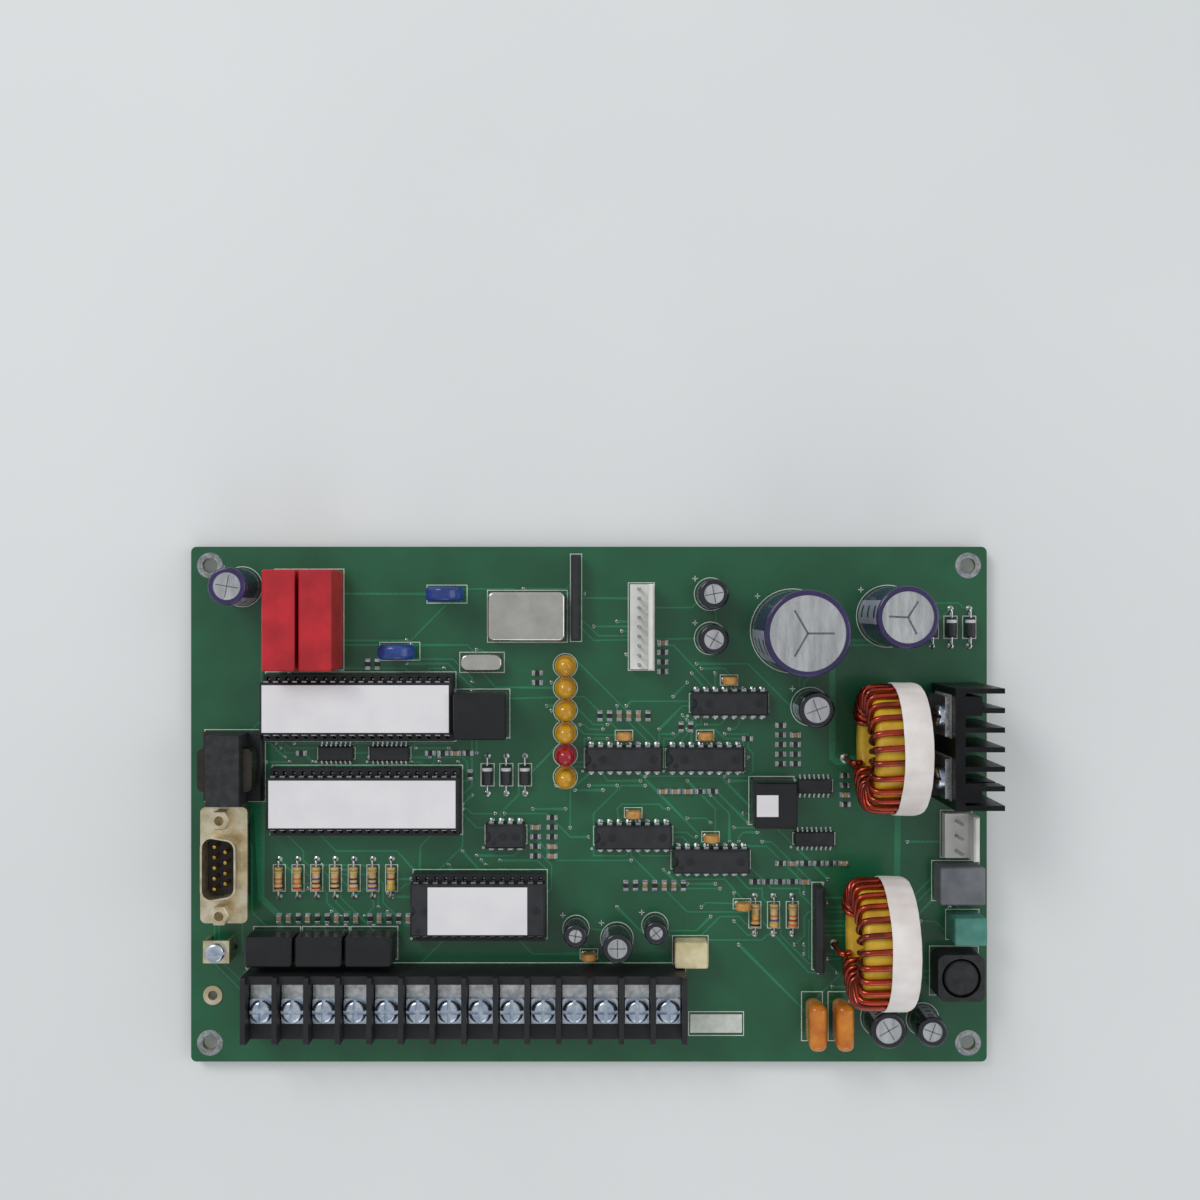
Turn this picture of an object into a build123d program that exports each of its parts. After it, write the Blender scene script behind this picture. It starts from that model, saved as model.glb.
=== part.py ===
from build123d import *
from math import radians, sqrt, tan
import os

# Control board of a fire alarm panel, in millimetres. The origin is the centre of the mounting
# holes on the board's underside; +X runs along the board and +Z points to the component side.

# Board
board_length = 215.9
board_width = 139.7
board_thickness = 1.6
board_corner_radius = 1.5
mounting_hole_inset = 5.08
mounting_hole_radius = 1.95

# Leads through the board
pitch = 2.54
lead_tail = 1.5
heavy_lead_tail = 1.8
hole_clearance = 0.15
fine_lead_radius = 0.3
flat_lead_width = 0.5
flat_lead_thickness = 0.25
fit_gap = 0.05

# Serial connector, standing at the left edge
serial_edge_inset = 11.1
serial_y = -15.0
serial_flange_length = 30.8
serial_flange_width = 12.5
serial_flange_thickness = 0.9
serial_flange_height = 7.2
serial_flange_corner = 1.5
serial_shell_length = 16.9
serial_shell_width = 8.3
serial_shell_wall = 0.5
serial_shell_height = 5.8
serial_shell_corner = 2.4
serial_shell_draft = 10.0
serial_pin_pitch = 2.77
serial_row_gap = 2.84
serial_pin_radius = 0.5
serial_pin_height = 4.2
serial_pin_round = 0.3
serial_block_length = 19.0
serial_block_width = 10.0
serial_bracket_width = 7.0
serial_post_rise = 1.8
jackscrew_spacing = 24.99
jackscrew_flats = 4.75
jackscrew_height = 4.8
jackscrew_edge = 0.3
jackscrew_bore_radius = 1.25
jackscrew_shank_radius = 1.4
jackscrew_shank_length = 4.0
jackscrew_end_gap = 0.2

# Barrier terminal strip, along the lower edge
terminal_ways = 14
terminal_pitch = 8.25
terminal_x = -32.6
terminal_edge_inset = 17.6
terminal_depth = 17.6
terminal_deck_height = 8.4
terminal_barrier_height = 14.2
terminal_barrier_thickness = 1.3
terminal_barrier_edge = 0.5
terminal_wall_thickness = 2.2
terminal_wall_height = 12.0
terminal_plate_width = 6.4
terminal_plate_length = 11.0
terminal_plate_thickness = 0.8
terminal_screw_shift = 1.8
terminal_pin_width = 1.2
terminal_pin_thickness = 0.8
terminal_washer_size = 6.3
terminal_washer_thickness = 0.9
terminal_washer_corner = 0.6
terminal_screw_radius = 1.5
terminal_screw_length = 6.0
terminal_head_radius = 3.1
terminal_head_height = 2.0
terminal_head_round = 1.2
terminal_slot_width = 0.9
terminal_slot_depth = 1.0

# Signal relays, in a row behind the strip
relay_count = 3
relay_length = 12.5
relay_width = 8.0
relay_height = 10.0
relay_pitch = 13.2
relay_x = -71.4
relay_y = -37.6
relay_standoff = 0.5
relay_edge = 0.8
relay_row_spacing = 5.08
relay_pin_steps = (0, 1, 4)

# Socketed chips
wide_row_spacing = 15.24
wide_body_width = 13.8
chip_body_height = 3.8
chip_end_margin = 0.8
chip_edge = 0.5
notch_radius = 1.5
notch_depth = 1.2
socket_height = 4.2
socket_rail_margin = 1.35
socket_bar_width = 3.0
socket_well_length = 0.9
socket_well_width = 1.3
socket_floor = 0.8
socket_contact_rise = 2.94
chip_seat_gap = 0.5
chip_lead_inset = 0.35
shoulder_width = 1.3
narrow_leg_share = 0.6
label_thickness = 0.15
label_margin = 0.6
processor_pins = 40
processor_x = -61.9
processor_y = 26.5
communicator_pins = 40
communicator_x = -60.1
communicator_y = 1.2
memory_pins = 28
memory_x = -29.5
memory_y = -27.1
memory_label_length = 26.4

# Logic chips soldered straight to the board
narrow_row_spacing = 7.62
narrow_body_width = 6.4
logic_body_height = 3.3
logic_seat_height = 0.6
logic_pins = 16
logic_places = ((9.5, 12.5), (31.5, 12.5), (12.0, -8.5), (33.0, -15.0), (38.0, 27.5))
opto_pins = 8
opto_x = -22.5
opto_y = -8.2

# Surface-mounted chips
surface_body_width = 3.9
surface_body_height = 1.5
surface_seat_height = 0.15
surface_pitch = 1.27
surface_lead_width = 0.42
surface_foot_length = 0.7
surface_lead_reach = 0.5
surface_end_margin = 0.2
surface_edge = 0.3
surface_places = ((-54.0, 13.85, 16), (-68.5, 13.85, 14), (61.0, -9.3, 16), (61.0, 5.0, 14))

# Indicator lamps, in a column left of the middle
lamp_x = -6.3
lamp_top_y = 37.6
lamp_pitch = 6.04
lamp_count = 6
red_lamp_index = 4
lamp_radius = 2.5
lamp_flange_radius = 2.95
lamp_flange_height = 1.0
lamp_height = 8.6

# Toroidal chokes, standing on edge with their axis along X
choke_places = {"upper": (78.0, 16.9), "lower": (75.0, -33.5)}
core_outer_radius = 15.2
core_inner_radius = 9.9
core_depth = 12.0
core_corner = 1.5
wire_radius = 0.8
wire_turns = 26
tape_width = 7.4
tape_thickness = 0.3
tape_shift = 3.9
tape_open_height = 6.0
choke_lead_spread = 9.0
choke_lead_rise = 9.0

# Heat sink with its power devices, at the right edge
sink_edge_inset = 14.95
sink_y = 17.5
sink_length = 31.0
sink_height = 25.0
sink_spine = 2.5
sink_depth = 12.5
sink_fins = 7
sink_fin_thickness = 1.3
sink_pin_radius = 1.2
sink_pin_rise = 6.0
sink_pin_spread = 22.0
device_spread = 16.0
device_count = 2
device_width = 10.2
device_body_height = 9.0
device_body_thickness = 3.1
device_tab_height = 15.4
device_tab_thickness = 1.3
device_stand = 5.0
device_lead_width = 0.8
device_lead_thickness = 0.5
device_hole_inset = 2.7
device_screw_radius = 1.5
device_head_radius = 2.8
device_head_height = 2.0
device_edge = 0.4
screw_slot_width = 0.8
pad_thickness = 0.2
pad_overlap = 0.5

# Film capacitors, two side by side
film_x = -75.9
film_y = 50.1
film_length = 26.5
film_width = 8.6
film_height = 16.0
film_pitch = 9.6
film_count = 2
film_edge = 0.7
film_lead_radius = 0.4
film_lead_spacing = 22.5

# Electrolytic capacitors: x, y, radius, height
large_capacitors = ((55.2, 47.0, 11.0, 28.0), (81.0, 51.0, 8.0, 25.0), (-94.0, 59.0, 5.0, 16.0))
small_capacitors = (
    (7.6, -36.4, 4.0, 11.5), (17.9, -32.9, 3.15, 9.0), (-3.5, -33.7, 3.15, 9.0),
    (78.9, -57.8, 4.8, 12.0), (90.5, -58.3, 4.0, 11.5), (60.0, 26.5, 4.8, 12.0),
    (33.0, 45.0, 4.0, 11.5), (33.0, 57.0, 4.0, 11.5),
)
sleeve_thickness = 0.2
sleeve_lip = 0.9
can_edge = 0.5
capacitor_lead_share = 0.45
capacitor_lead_radius = 0.35

# Clock module and crystal in their drawn cans
clock_x = -16.7
clock_y = 51.0
clock_length = 20.8
clock_width = 13.2
clock_height = 5.1
clock_standoff = 0.6
clock_corner = 1.6
clock_pin_pitch = 15.24
clock_row_spacing = 7.62
crystal_x = -29.0
crystal_y = 38.5
crystal_length = 11.2
crystal_width = 4.6
crystal_height = 3.6
crystal_lead_spacing = 4.88
crystal_corner = 2.07
crystal_rim = 0.6

# Potted and moulded blocks on four pins each
auxiliary_x = 49.5
auxiliary_y = 1.0
auxiliary_length = 11.4
auxiliary_width = 12.2
auxiliary_height = 10.0
sticker_size = 5.7
isolator_x = -28.9
isolator_y = 24.6
isolator_length = 14.0
isolator_width = 12.4
isolator_height = 10.0
filter_edge_inset = 8.55
filter_y = -20.7
filter_length = 12.0
filter_width = 10.0
filter_height = 8.0
teal_edge_inset = 6.65
teal_y = -32.6
teal_length = 8.6
teal_width = 7.3
teal_height = 9.0
resonator_x = 27.5
resonator_y = -39.6
resonator_length = 8.8
resonator_width = 7.0
resonator_height = 6.0
moulded_edge = 0.6
moulded_standoff = 0.4
moulded_pin_inset = 2.2

# Line transformer at the left edge: ferrite core round a bobbin
transformer_edge_inset = 11.95
transformer_y = 10.5
transformer_length = 16.0
transformer_width = 18.6
transformer_height = 13.0
transformer_base_height = 3.0
core_breadth = 8.8
core_leg = 3.6
core_yoke = 2.2
coil_margin = 0.8
transformer_pin_inset = 1.5
transformer_pin_pitch = 5.08
transformer_pins_per_side = 4
transformer_edge = 0.4
coil_corner = 1.5

# Screened power inductor at the right edge
inductor_edge_inset = 8.95
inductor_y = -45.1
inductor_size = 12.4
inductor_height = 8.0
inductor_well_radius = 5.2
inductor_drum_radius = 4.6
inductor_corner = 2.0
inductor_floor = 1.0
inductor_drum_edge = 0.4
inductor_lead_spacing = 7.44

# Headers: a three-way power header and a nine-way panel header
header_pin_width = 0.64
header_pin_rise = 10.0
header_base_height = 3.4
header_wall_thickness = 1.5
header_wall_height = 9.6
header_edge = 0.4
power_header_edge_inset = 8.35
power_header_y = -8.0
power_header_ways = 3
power_header_pitch = 3.96
power_header_width = 7.7
panel_header_x = 14.2
panel_header_y = 48.2
panel_header_ways = 9
panel_header_width = 6.2

# Dipped and disc capacitors, varistors: x, y
dipped_thickness = 4.8
dipped_places = ((67.7, -57.5), (60.5, -57.5))
dipped_length = 12.4
dipped_height = 11.5
dipped_lead_spacing = 7.5
dipped_corner = 1.68
dipped_stand = 0.6
decoupler_radius = 2.1
decoupler_thickness = 2.2
decoupler_offset = 6.2
decoupler_lead_spacing = 2.54
disc_stand = 1.2
disc_rim_share = 0.3
tan_disc_places = ((0.0, -40.6), (41.5, -27.0))
varistor_radius = 5.0
varistor_thickness = 4.0
varistor_lead_spacing = 5.08
varistor_places = ((-51.3, 41.5), (-38.5, 57.0))

# Resistors and diodes on their leads: first x, y, count
axial_pitch = 5.08
axial_lead_spacing = 10.16
axial_lead_radius = 0.3
axial_bend_radius = 0.8
resistor_radius = 1.2
resistor_length = 6.3
resistor_neck_radius = 1.0
resistor_cap_length = 1.575
resistor_edge = 0.3
resistor_rows = ((-84.0, -20.0, 7), (45.0, -30.0, 3))
diode_radius = 1.35
diode_length = 5.2
diode_edge = 0.25
diode_rows = ((-27.5, 8.0, 3), (93.0, 48.0, 3))

# Resistor networks standing in line: x, y
network_ways = 9
network_thickness = 2.2
network_height = 5.0
network_edge = 0.4
network_places = ((-3.5, 56.0), (62.0, -33.0))

# Earth bracket and eyelet at the lower left edge
earth_edge_inset = 8.45
earth_y = -38.6
earth_length = 7.0
earth_width = 6.0
earth_height = 6.0
earth_sheet = 0.8
earth_foot_width = 1.6
earth_screw_radius = 1.5
earth_head_radius = 2.6
earth_head_height = 1.8
eyelet_edge_inset = 5.95
eyelet_y = -51.8
eyelet_bore_radius = 1.3
eyelet_wall = 0.35
eyelet_flange_radius = 2.6
eyelet_flange_thickness = 0.35

top = board_thickness
board_left = -board_length / 2
board_right = board_length / 2
board_bottom = -board_width / 2
sink_x = board_right - sink_edge_inset
plated_holes = []
parts = {}


def block(length, width, height, x=0.0, y=0.0, z=0.0):
    """Box whose bottom face is centred on x, y at height z."""
    return Pos(x, y, z + height / 2) * Box(length, width, height)


def disc(radius, height, x=0.0, y=0.0, z=0.0):
    """Cylinder whose bottom face is centred on x, y at height z."""
    return Pos(x, y, z + height / 2) * Cylinder(radius, height)


def group(solids):
    """Separate like solids that share one node."""
    return Compound(children=list(solids))


def top_face_edges(solid):
    return solid.faces().sort_by(Axis.Z)[-1].edges()


def moulded(length, width, height, edge, x=0.0, y=0.0, z=0.0):
    """Block with rounded upright edges and a chamfered top rim."""
    body = block(length, width, height, x, y, z)
    body = fillet(body.edges().filter_by(Axis.Z), edge)
    return chamfer(top_face_edges(body), edge / 2)


def round_leads(points, radius, rise=0.0, tail=lead_tail):
    """Straight round leads through the board, ending a rise above its top face."""
    plated_holes.extend((x, y, radius + hole_clearance) for x, y in points)
    return [disc(radius, tail + top + rise, x, y, -tail) for x, y in points]


def flat_leads(points, length, width, rise=0.0, tail=lead_tail):
    """Straight flat leads through the board, ending a rise above its top face."""
    hole_radius = Vector(length, width).length / 2 + hole_clearance
    plated_holes.extend((x, y, hole_radius) for x, y in points)
    return [block(length, width, tail + top + rise, x, y, -tail) for x, y in points]


def row(count, step, middle=0.0):
    """Evenly spaced places about a middle value."""
    return [middle + (i - (count - 1) / 2) * step for i in range(count)]


def dual_row(pins, row_spacing, x, y):
    """Places of the leads of a two-row package that lies along X."""
    return [(px, y + side * row_spacing / 2) for side in (-1, 1) for px in row(pins // 2, pitch, x)]


def d_outline(length, width, corner):
    """D-shaped outline, long along Y, with its wide side at -X."""
    slant = width * tan(radians(serial_shell_draft))
    points = [
        (-width / 2, -length / 2),
        (width / 2, -length / 2 + slant),
        (width / 2, length / 2 - slant),
        (-width / 2, length / 2),
    ]
    outline = Polygon(*points, align=None)
    return fillet(outline.vertices(), corner)


def serial_connector():
    x = board_left + serial_edge_inset
    flange_z = top + serial_flange_height
    face_z = flange_z + serial_flange_thickness
    screw_places = [(x, sy) for sy in row(2, jackscrew_spacing, serial_y)]
    shank_hole_radius = jackscrew_shank_radius + hole_clearance
    inner = d_outline(serial_shell_length, serial_shell_width, serial_shell_corner)
    outer = d_outline(
        serial_shell_length + 2 * serial_shell_wall,
        serial_shell_width + 2 * serial_shell_wall,
        serial_shell_corner + serial_shell_wall,
    )
    flange = block(serial_flange_width, serial_flange_length, serial_flange_thickness, x, serial_y, flange_z)
    flange = fillet(flange.edges().filter_by(Axis.Z), serial_flange_corner)
    shell = flange + Pos(x, serial_y, flange_z) * extrude(outer, serial_flange_thickness + serial_shell_height)
    shell -= Pos(x, serial_y, flange_z) * extrude(inner, serial_flange_thickness + serial_shell_height)
    for sx, sy in screw_places:
        shell -= disc(shank_hole_radius, serial_flange_thickness, sx, sy, flange_z)
    parts["serial_shell"] = shell

    contact_places = [(x - serial_row_gap / 2, cy) for cy in row(5, serial_pin_pitch, serial_y)]
    contact_places += [(x + serial_row_gap / 2, cy) for cy in row(4, serial_pin_pitch, serial_y)]
    plug = d_outline(
        serial_shell_length - 2 * fit_gap, serial_shell_width - 2 * fit_gap, serial_shell_corner - fit_gap
    )
    insulator = block(serial_block_width, serial_block_length, serial_flange_height, x, serial_y, top)
    insulator += Pos(x, serial_y, flange_z) * extrude(plug, serial_flange_thickness)
    for cx, cy in contact_places:
        insulator -= disc(serial_pin_radius + fit_gap, face_z - top, cx, cy, top)
    parts["serial_insulator"] = insulator
    rise = face_z - top + serial_pin_height
    contacts = round_leads(contact_places, serial_pin_radius, rise)
    parts["serial_contacts"] = group(fillet(top_face_edges(c), serial_pin_round) for c in contacts)

    bracket_length = (jackscrew_spacing - serial_block_length) - 2 * fit_gap
    posts = round_leads(screw_places, jackscrew_shank_radius, serial_post_rise, heavy_lead_tail)
    brackets = []
    jackscrews = []
    for (sx, sy), post in zip(screw_places, posts):
        bracket = block(serial_bracket_width, bracket_length, serial_flange_height, sx, sy, top)
        bracket -= disc(
            jackscrew_shank_radius + fit_gap, jackscrew_shank_length, sx, sy, flange_z - jackscrew_shank_length
        )
        brackets.append(bracket + post)
        head = extrude(RegularPolygon(jackscrew_flats / 2, 6, major_radius=False), jackscrew_height)
        head = chamfer(top_face_edges(head), jackscrew_edge)
        head -= disc(jackscrew_bore_radius, jackscrew_height)
        shank_length = jackscrew_shank_length + serial_flange_thickness - jackscrew_end_gap
        screw = head + disc(jackscrew_shank_radius, shank_length, z=-shank_length)
        jackscrews.append(Pos(sx, sy, face_z) * screw)
    parts["serial_brackets"] = group(brackets)
    parts["serial_jackscrews"] = group(jackscrews)


def terminal_strip():
    y = board_bottom + terminal_edge_inset
    length = terminal_ways * terminal_pitch + terminal_barrier_thickness
    deck_z = top + terminal_deck_height
    body = block(length, terminal_depth, terminal_deck_height, terminal_x, y, top)
    wall_y = y + (terminal_depth - terminal_wall_thickness) / 2
    body += block(length, terminal_wall_thickness, terminal_wall_height, terminal_x, wall_y, top)
    for bx in row(terminal_ways + 1, terminal_pitch, terminal_x):
        barrier = block(terminal_barrier_thickness, terminal_depth, terminal_barrier_height, bx, y, top)
        body += chamfer(barrier.faces().sort_by(Axis.Z)[-1].edges().filter_by(Axis.X), terminal_barrier_edge)

    plate_y = wall_y - (terminal_wall_thickness + terminal_plate_length) / 2 - fit_gap
    pin_y = plate_y + (terminal_plate_length - terminal_pin_thickness) / 2
    washer_z = deck_z + terminal_plate_thickness
    head_z = washer_z + terminal_washer_thickness
    bore_radius = terminal_screw_radius + hole_clearance
    way_places = [(wx, plate_y - terminal_screw_shift) for wx in row(terminal_ways, terminal_pitch, terminal_x)]
    pin_rise = terminal_deck_height + terminal_plate_thickness
    pin_places = [(wx, pin_y) for wx, _ in way_places]
    pins = flat_leads(pin_places, terminal_pin_width, terminal_pin_thickness, pin_rise, heavy_lead_tail)
    screw_depth = terminal_screw_length - terminal_washer_thickness - terminal_plate_thickness + fit_gap
    contacts = []
    washers = []
    screws = []
    for (wx, wy), pin in zip(way_places, pins):
        body -= block(
            terminal_pin_width + 2 * fit_gap, terminal_pin_thickness + 2 * fit_gap,
            terminal_deck_height, wx, pin_y, top,
        )
        body -= disc(bore_radius, screw_depth, wx, wy, deck_z - screw_depth)
        plate = block(
            terminal_plate_width, terminal_plate_length, terminal_plate_thickness, wx, plate_y, deck_z
        )
        contacts.append(plate + pin - disc(bore_radius, terminal_plate_thickness, wx, wy, deck_z))
        washer = block(
            terminal_washer_size, terminal_washer_size, terminal_washer_thickness, wx, wy, washer_z
        )
        washer = fillet(washer.edges().filter_by(Axis.Z), terminal_washer_corner)
        washers.append(washer - disc(bore_radius, terminal_washer_thickness, wx, wy, washer_z))
        screws.append(Pos(wx, wy, head_z) * terminal_screw())
    parts["terminal_body"] = body
    parts["terminal_contacts"] = group(contacts)
    parts["terminal_washers"] = group(washers)
    parts["terminal_screws"] = group(screws)


def terminal_screw():
    """Screw with a domed, cross-slotted head; the head's underside is at z = 0."""
    head = fillet(top_face_edges(disc(terminal_head_radius, terminal_head_height)), terminal_head_round)
    slot_z = terminal_head_height - terminal_slot_depth
    slot = block(2 * terminal_head_radius, terminal_slot_width, terminal_slot_depth, z=slot_z)
    head = head - slot - Rot(Z=90) * slot
    return head + disc(terminal_screw_radius, terminal_screw_length, z=-terminal_screw_length)


def signal_relays():
    relays = []
    points = []
    for x in row(relay_count, relay_pitch, relay_x):
        body_z = top + relay_standoff
        relays.append(moulded(relay_length, relay_width, relay_height, relay_edge, x, relay_y, body_z))
        first_pin = x - relay_pin_steps[-1] * pitch / 2
        points += [
            (first_pin + step * pitch, py)
            for py in row(2, relay_row_spacing, relay_y) for step in relay_pin_steps
        ]
    parts["signal_relays"] = group(relays)
    return flat_leads(points, flat_lead_width, flat_lead_thickness, relay_standoff)


def chip_body(pins, width, height, x, y, z):
    """Moulded two-row package along X, with a half-round notch in its left end."""
    length = pins / 2 * pitch + 2 * chip_end_margin - pitch / 2
    body = block(length, width, height, x, y, z)
    body = chamfer(top_face_edges(body), chip_edge)
    return body - disc(notch_radius, notch_depth, x - length / 2, y, z + height - notch_depth)


def chip_leads(pins, row_spacing, width, shoulder_z, foot_z, x, y):
    """Leads that leave the package's sides at the shoulder and turn down to the foot."""
    reach = (row_spacing - width) / 2
    shoulder = block(shoulder_width, reach, flat_lead_thickness, 0, -reach / 2, shoulder_z)
    leg_y = -flat_lead_thickness / 2
    wide_leg = block(shoulder_width, flat_lead_thickness, shoulder_z - foot_z, 0, leg_y, foot_z)
    narrow_height = (shoulder_z - foot_z) * narrow_leg_share
    for side in (-1, 1):
        cut_x = side * (shoulder_width + flat_lead_width) / 4
        cut_width = (shoulder_width - flat_lead_width) / 2
        wide_leg -= block(cut_width, flat_lead_thickness, narrow_height, cut_x, leg_y, foot_z)
    lead = shoulder + wide_leg
    leads = [Pos(px, y + row_spacing / 2) * lead for px in row(pins // 2, pitch, x)]
    return leads + [Pos(px, y - row_spacing / 2) * Rot(Z=180) * lead for px in row(pins // 2, pitch, x)]


def socket(pins, x, y):
    """Ladder-shaped socket along X, with a well for each lead."""
    length = pins / 2 * pitch
    width = wide_row_spacing + 2 * socket_rail_margin
    window = wide_row_spacing - 2 * socket_rail_margin
    body = block(length, width, socket_height, x, y, top)
    bay_length = (length - 3 * socket_bar_width) / 2
    for bay_x in row(2, bay_length + socket_bar_width, x):
        body -= block(bay_length, window, socket_height, bay_x, y, top)
    wells = []
    slots = []
    for px, py in dual_row(pins, wide_row_spacing, x, y):
        wells.append(
            block(
                socket_well_length, socket_well_width, socket_height - socket_floor, px, py, top + socket_floor
            )
        )
        slots.append(
            block(flat_lead_width + 2 * fit_gap, flat_lead_thickness + 2 * fit_gap, socket_floor, px, py, top)
        )
    return body - wells - slots


def socketed_chips():
    """Sockets with their contacts, the chips that sit in them and the chips' blank labels."""
    long_label = processor_pins / 2 * pitch - 2 * label_margin
    chips = (
        (processor_pins, processor_x, processor_y, long_label),
        (communicator_pins, communicator_x, communicator_y, long_label),
        (memory_pins, memory_x, memory_y, memory_label_length),
    )
    chip_z = top + socket_height + chip_seat_gap
    shoulder_z = chip_z + (chip_body_height - flat_lead_thickness) / 2
    foot_z = top + socket_floor + fit_gap
    lead_row = wide_row_spacing - 2 * chip_lead_inset
    label_width = wide_body_width - 2 * label_margin
    sockets, bodies, leads, labels, contacts = [], [], [], [], []
    for pins, x, y, label_length in chips:
        sockets.append(socket(pins, x, y))
        bodies.append(chip_body(pins, wide_body_width, chip_body_height, x, y, chip_z))
        leads += chip_leads(pins, lead_row, wide_body_width, shoulder_z, foot_z, x, y)
        labels.append(block(label_length, label_width, label_thickness, x, y, chip_z + chip_body_height))
        points = dual_row(pins, wide_row_spacing, x, y)
        contacts += flat_leads(points, flat_lead_width, flat_lead_thickness, socket_contact_rise)
    parts["chip_sockets"] = group(sockets)
    parts["socketed_chips"] = group(bodies)
    parts["socketed_chip_leads"] = group(leads)
    sticker_x = auxiliary_x - (auxiliary_length - sticker_size) / 2 + moulded_edge
    labels.append(
        block(sticker_size, sticker_size, label_thickness, sticker_x, auxiliary_y, top + auxiliary_height)
    )
    parts["blank_labels"] = group(labels)
    parts["socket_contacts"] = group(contacts)


def logic_chips():
    """Two-row chips whose leads pass straight through the board."""
    bodies = []
    leads = []
    chips = [(x, y, logic_pins) for x, y in logic_places] + [(opto_x, opto_y, opto_pins)]
    body_z = top + logic_seat_height
    shoulder_z = body_z + (logic_body_height - flat_lead_thickness) / 2
    hole_radius = Vector(flat_lead_width, flat_lead_thickness).length / 2 + hole_clearance
    lead_row = narrow_row_spacing - flat_lead_thickness
    for x, y, pins in chips:
        bodies.append(chip_body(pins, narrow_body_width, logic_body_height, x, y, body_z))
        leads += chip_leads(pins, narrow_row_spacing, narrow_body_width, shoulder_z, -lead_tail, x, y)
        plated_holes.extend((px, py, hole_radius) for px, py in dual_row(pins, lead_row, x, y))
    parts["logic_chips"] = group(bodies)
    parts["logic_leads"] = group(leads)


def surface_chips():
    """Chips along X that stand on gull-wing leads on the board's face."""
    bodies = []
    leads = []
    body_z = top + surface_seat_height
    shoulder_z = body_z + (surface_body_height - flat_lead_thickness) / 2
    reach = surface_lead_reach
    lead = block(surface_lead_width, reach, flat_lead_thickness, 0, reach / 2, shoulder_z)
    upright_y = reach - flat_lead_thickness / 2
    lead += block(surface_lead_width, flat_lead_thickness, shoulder_z - top, 0, upright_y, top)
    lead += block(
        surface_lead_width, surface_foot_length, flat_lead_thickness, 0, reach + surface_foot_length / 2, top
    )
    for x, y, pins in surface_places:
        length = pins / 2 * surface_pitch + 2 * surface_end_margin
        body = block(length, surface_body_width, surface_body_height, x, y, body_z)
        bodies.append(chamfer(top_face_edges(body), surface_edge))
        side_y = surface_body_width / 2
        for px in row(pins // 2, surface_pitch, x):
            leads.append(Pos(px, y + side_y) * lead)
            leads.append(Pos(px, y - side_y) * Rot(Z=180) * lead)
    parts["surface_chips"] = group(bodies)
    parts["surface_leads"] = group(leads)


def lamps():
    places = [(lamp_x, lamp_top_y - i * lamp_pitch) for i in range(lamp_count)]
    amber = []
    for i, (x, y) in enumerate(places):
        barrel_height = lamp_height - lamp_radius
        dome = disc(lamp_radius, barrel_height) + Pos(Z=barrel_height) * Sphere(lamp_radius)
        flange = disc(lamp_flange_radius, lamp_flange_height)
        flat_x = (lamp_radius + lamp_flange_radius) / 2
        flat_depth = lamp_flange_radius - lamp_radius
        flange -= block(flat_depth, 2 * lamp_flange_radius, lamp_flange_height, flat_x + flat_depth / 2)
        lamp = Pos(x, y, top) * (dome + flange)
        if i == red_lamp_index:
            parts["red_lamp"] = lamp
        else:
            amber.append(lamp)
    parts["amber_lamps"] = group(amber)
    lead_places = [(x + side * pitch / 2, y) for x, y in places for side in (-1, 1)]
    return flat_leads(lead_places, flat_lead_width, flat_lead_width)


def winding_turn():
    """One turn of wire round the core's section, at the top of the ring."""
    offset = wire_radius + fit_gap
    span = core_outer_radius - core_inner_radius
    outline = RectangleRounded(core_depth + 2 * offset, span + 2 * offset, core_corner + offset)
    path = (Pos(Z=core_inner_radius + span / 2) * Rot(X=90) * outline).wires()[0]
    section = Plane(origin=(0, 0, core_outer_radius + offset), z_dir=(1, 0, 0)) * Circle(wire_radius)
    return sweep(section, path=path)


def choke_solids(x, y):
    """Core, winding turns and tape of one choke that stands on edge."""
    outer_winding = core_outer_radius + 2 * wire_radius + fit_gap
    centre = Pos(x, y, top + outer_winding + fit_gap)
    core = Cylinder(core_outer_radius, core_depth) - Cylinder(core_inner_radius, core_depth)
    core = fillet(core.edges().filter_by(GeomType.CIRCLE), core_corner)
    core = centre * Rot(Y=90) * core
    turn = winding_turn()
    step = 360 / wire_turns
    turns = [centre * Rot(X=(i + 0.5) * step) * turn for i in range(wire_turns)]
    tape_radius = outer_winding + fit_gap
    tape = Cylinder(tape_radius + tape_thickness, tape_width) - Cylinder(tape_radius, tape_width)
    opening = block(tape_width, 3 * tape_radius, tape_radius, 0, 0, -tape_open_height - tape_radius)
    tape = centre * Pos(X=tape_shift) * (Rot(Y=90) * tape - opening)
    return core, turns, tape


def chokes():
    cores, tapes, leads = [], [], []
    lead_x = core_depth / 2 + 2 * (wire_radius + fit_gap) + wire_radius
    for name, (x, y) in choke_places.items():
        core, turns, tape = choke_solids(x, y)
        cores.append(core)
        tapes.append(tape)
        parts[f"{name}_choke_winding"] = group(turns)
        points = [(x - lead_x, y - choke_lead_spread / 2), (x + lead_x, y + choke_lead_spread / 2)]
        leads += round_leads(points, wire_radius, choke_lead_rise, heavy_lead_tail)
    parts["choke_cores"] = group(cores)
    parts["choke_tapes"] = group(tapes)
    parts["choke_leads"] = group(leads)


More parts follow.
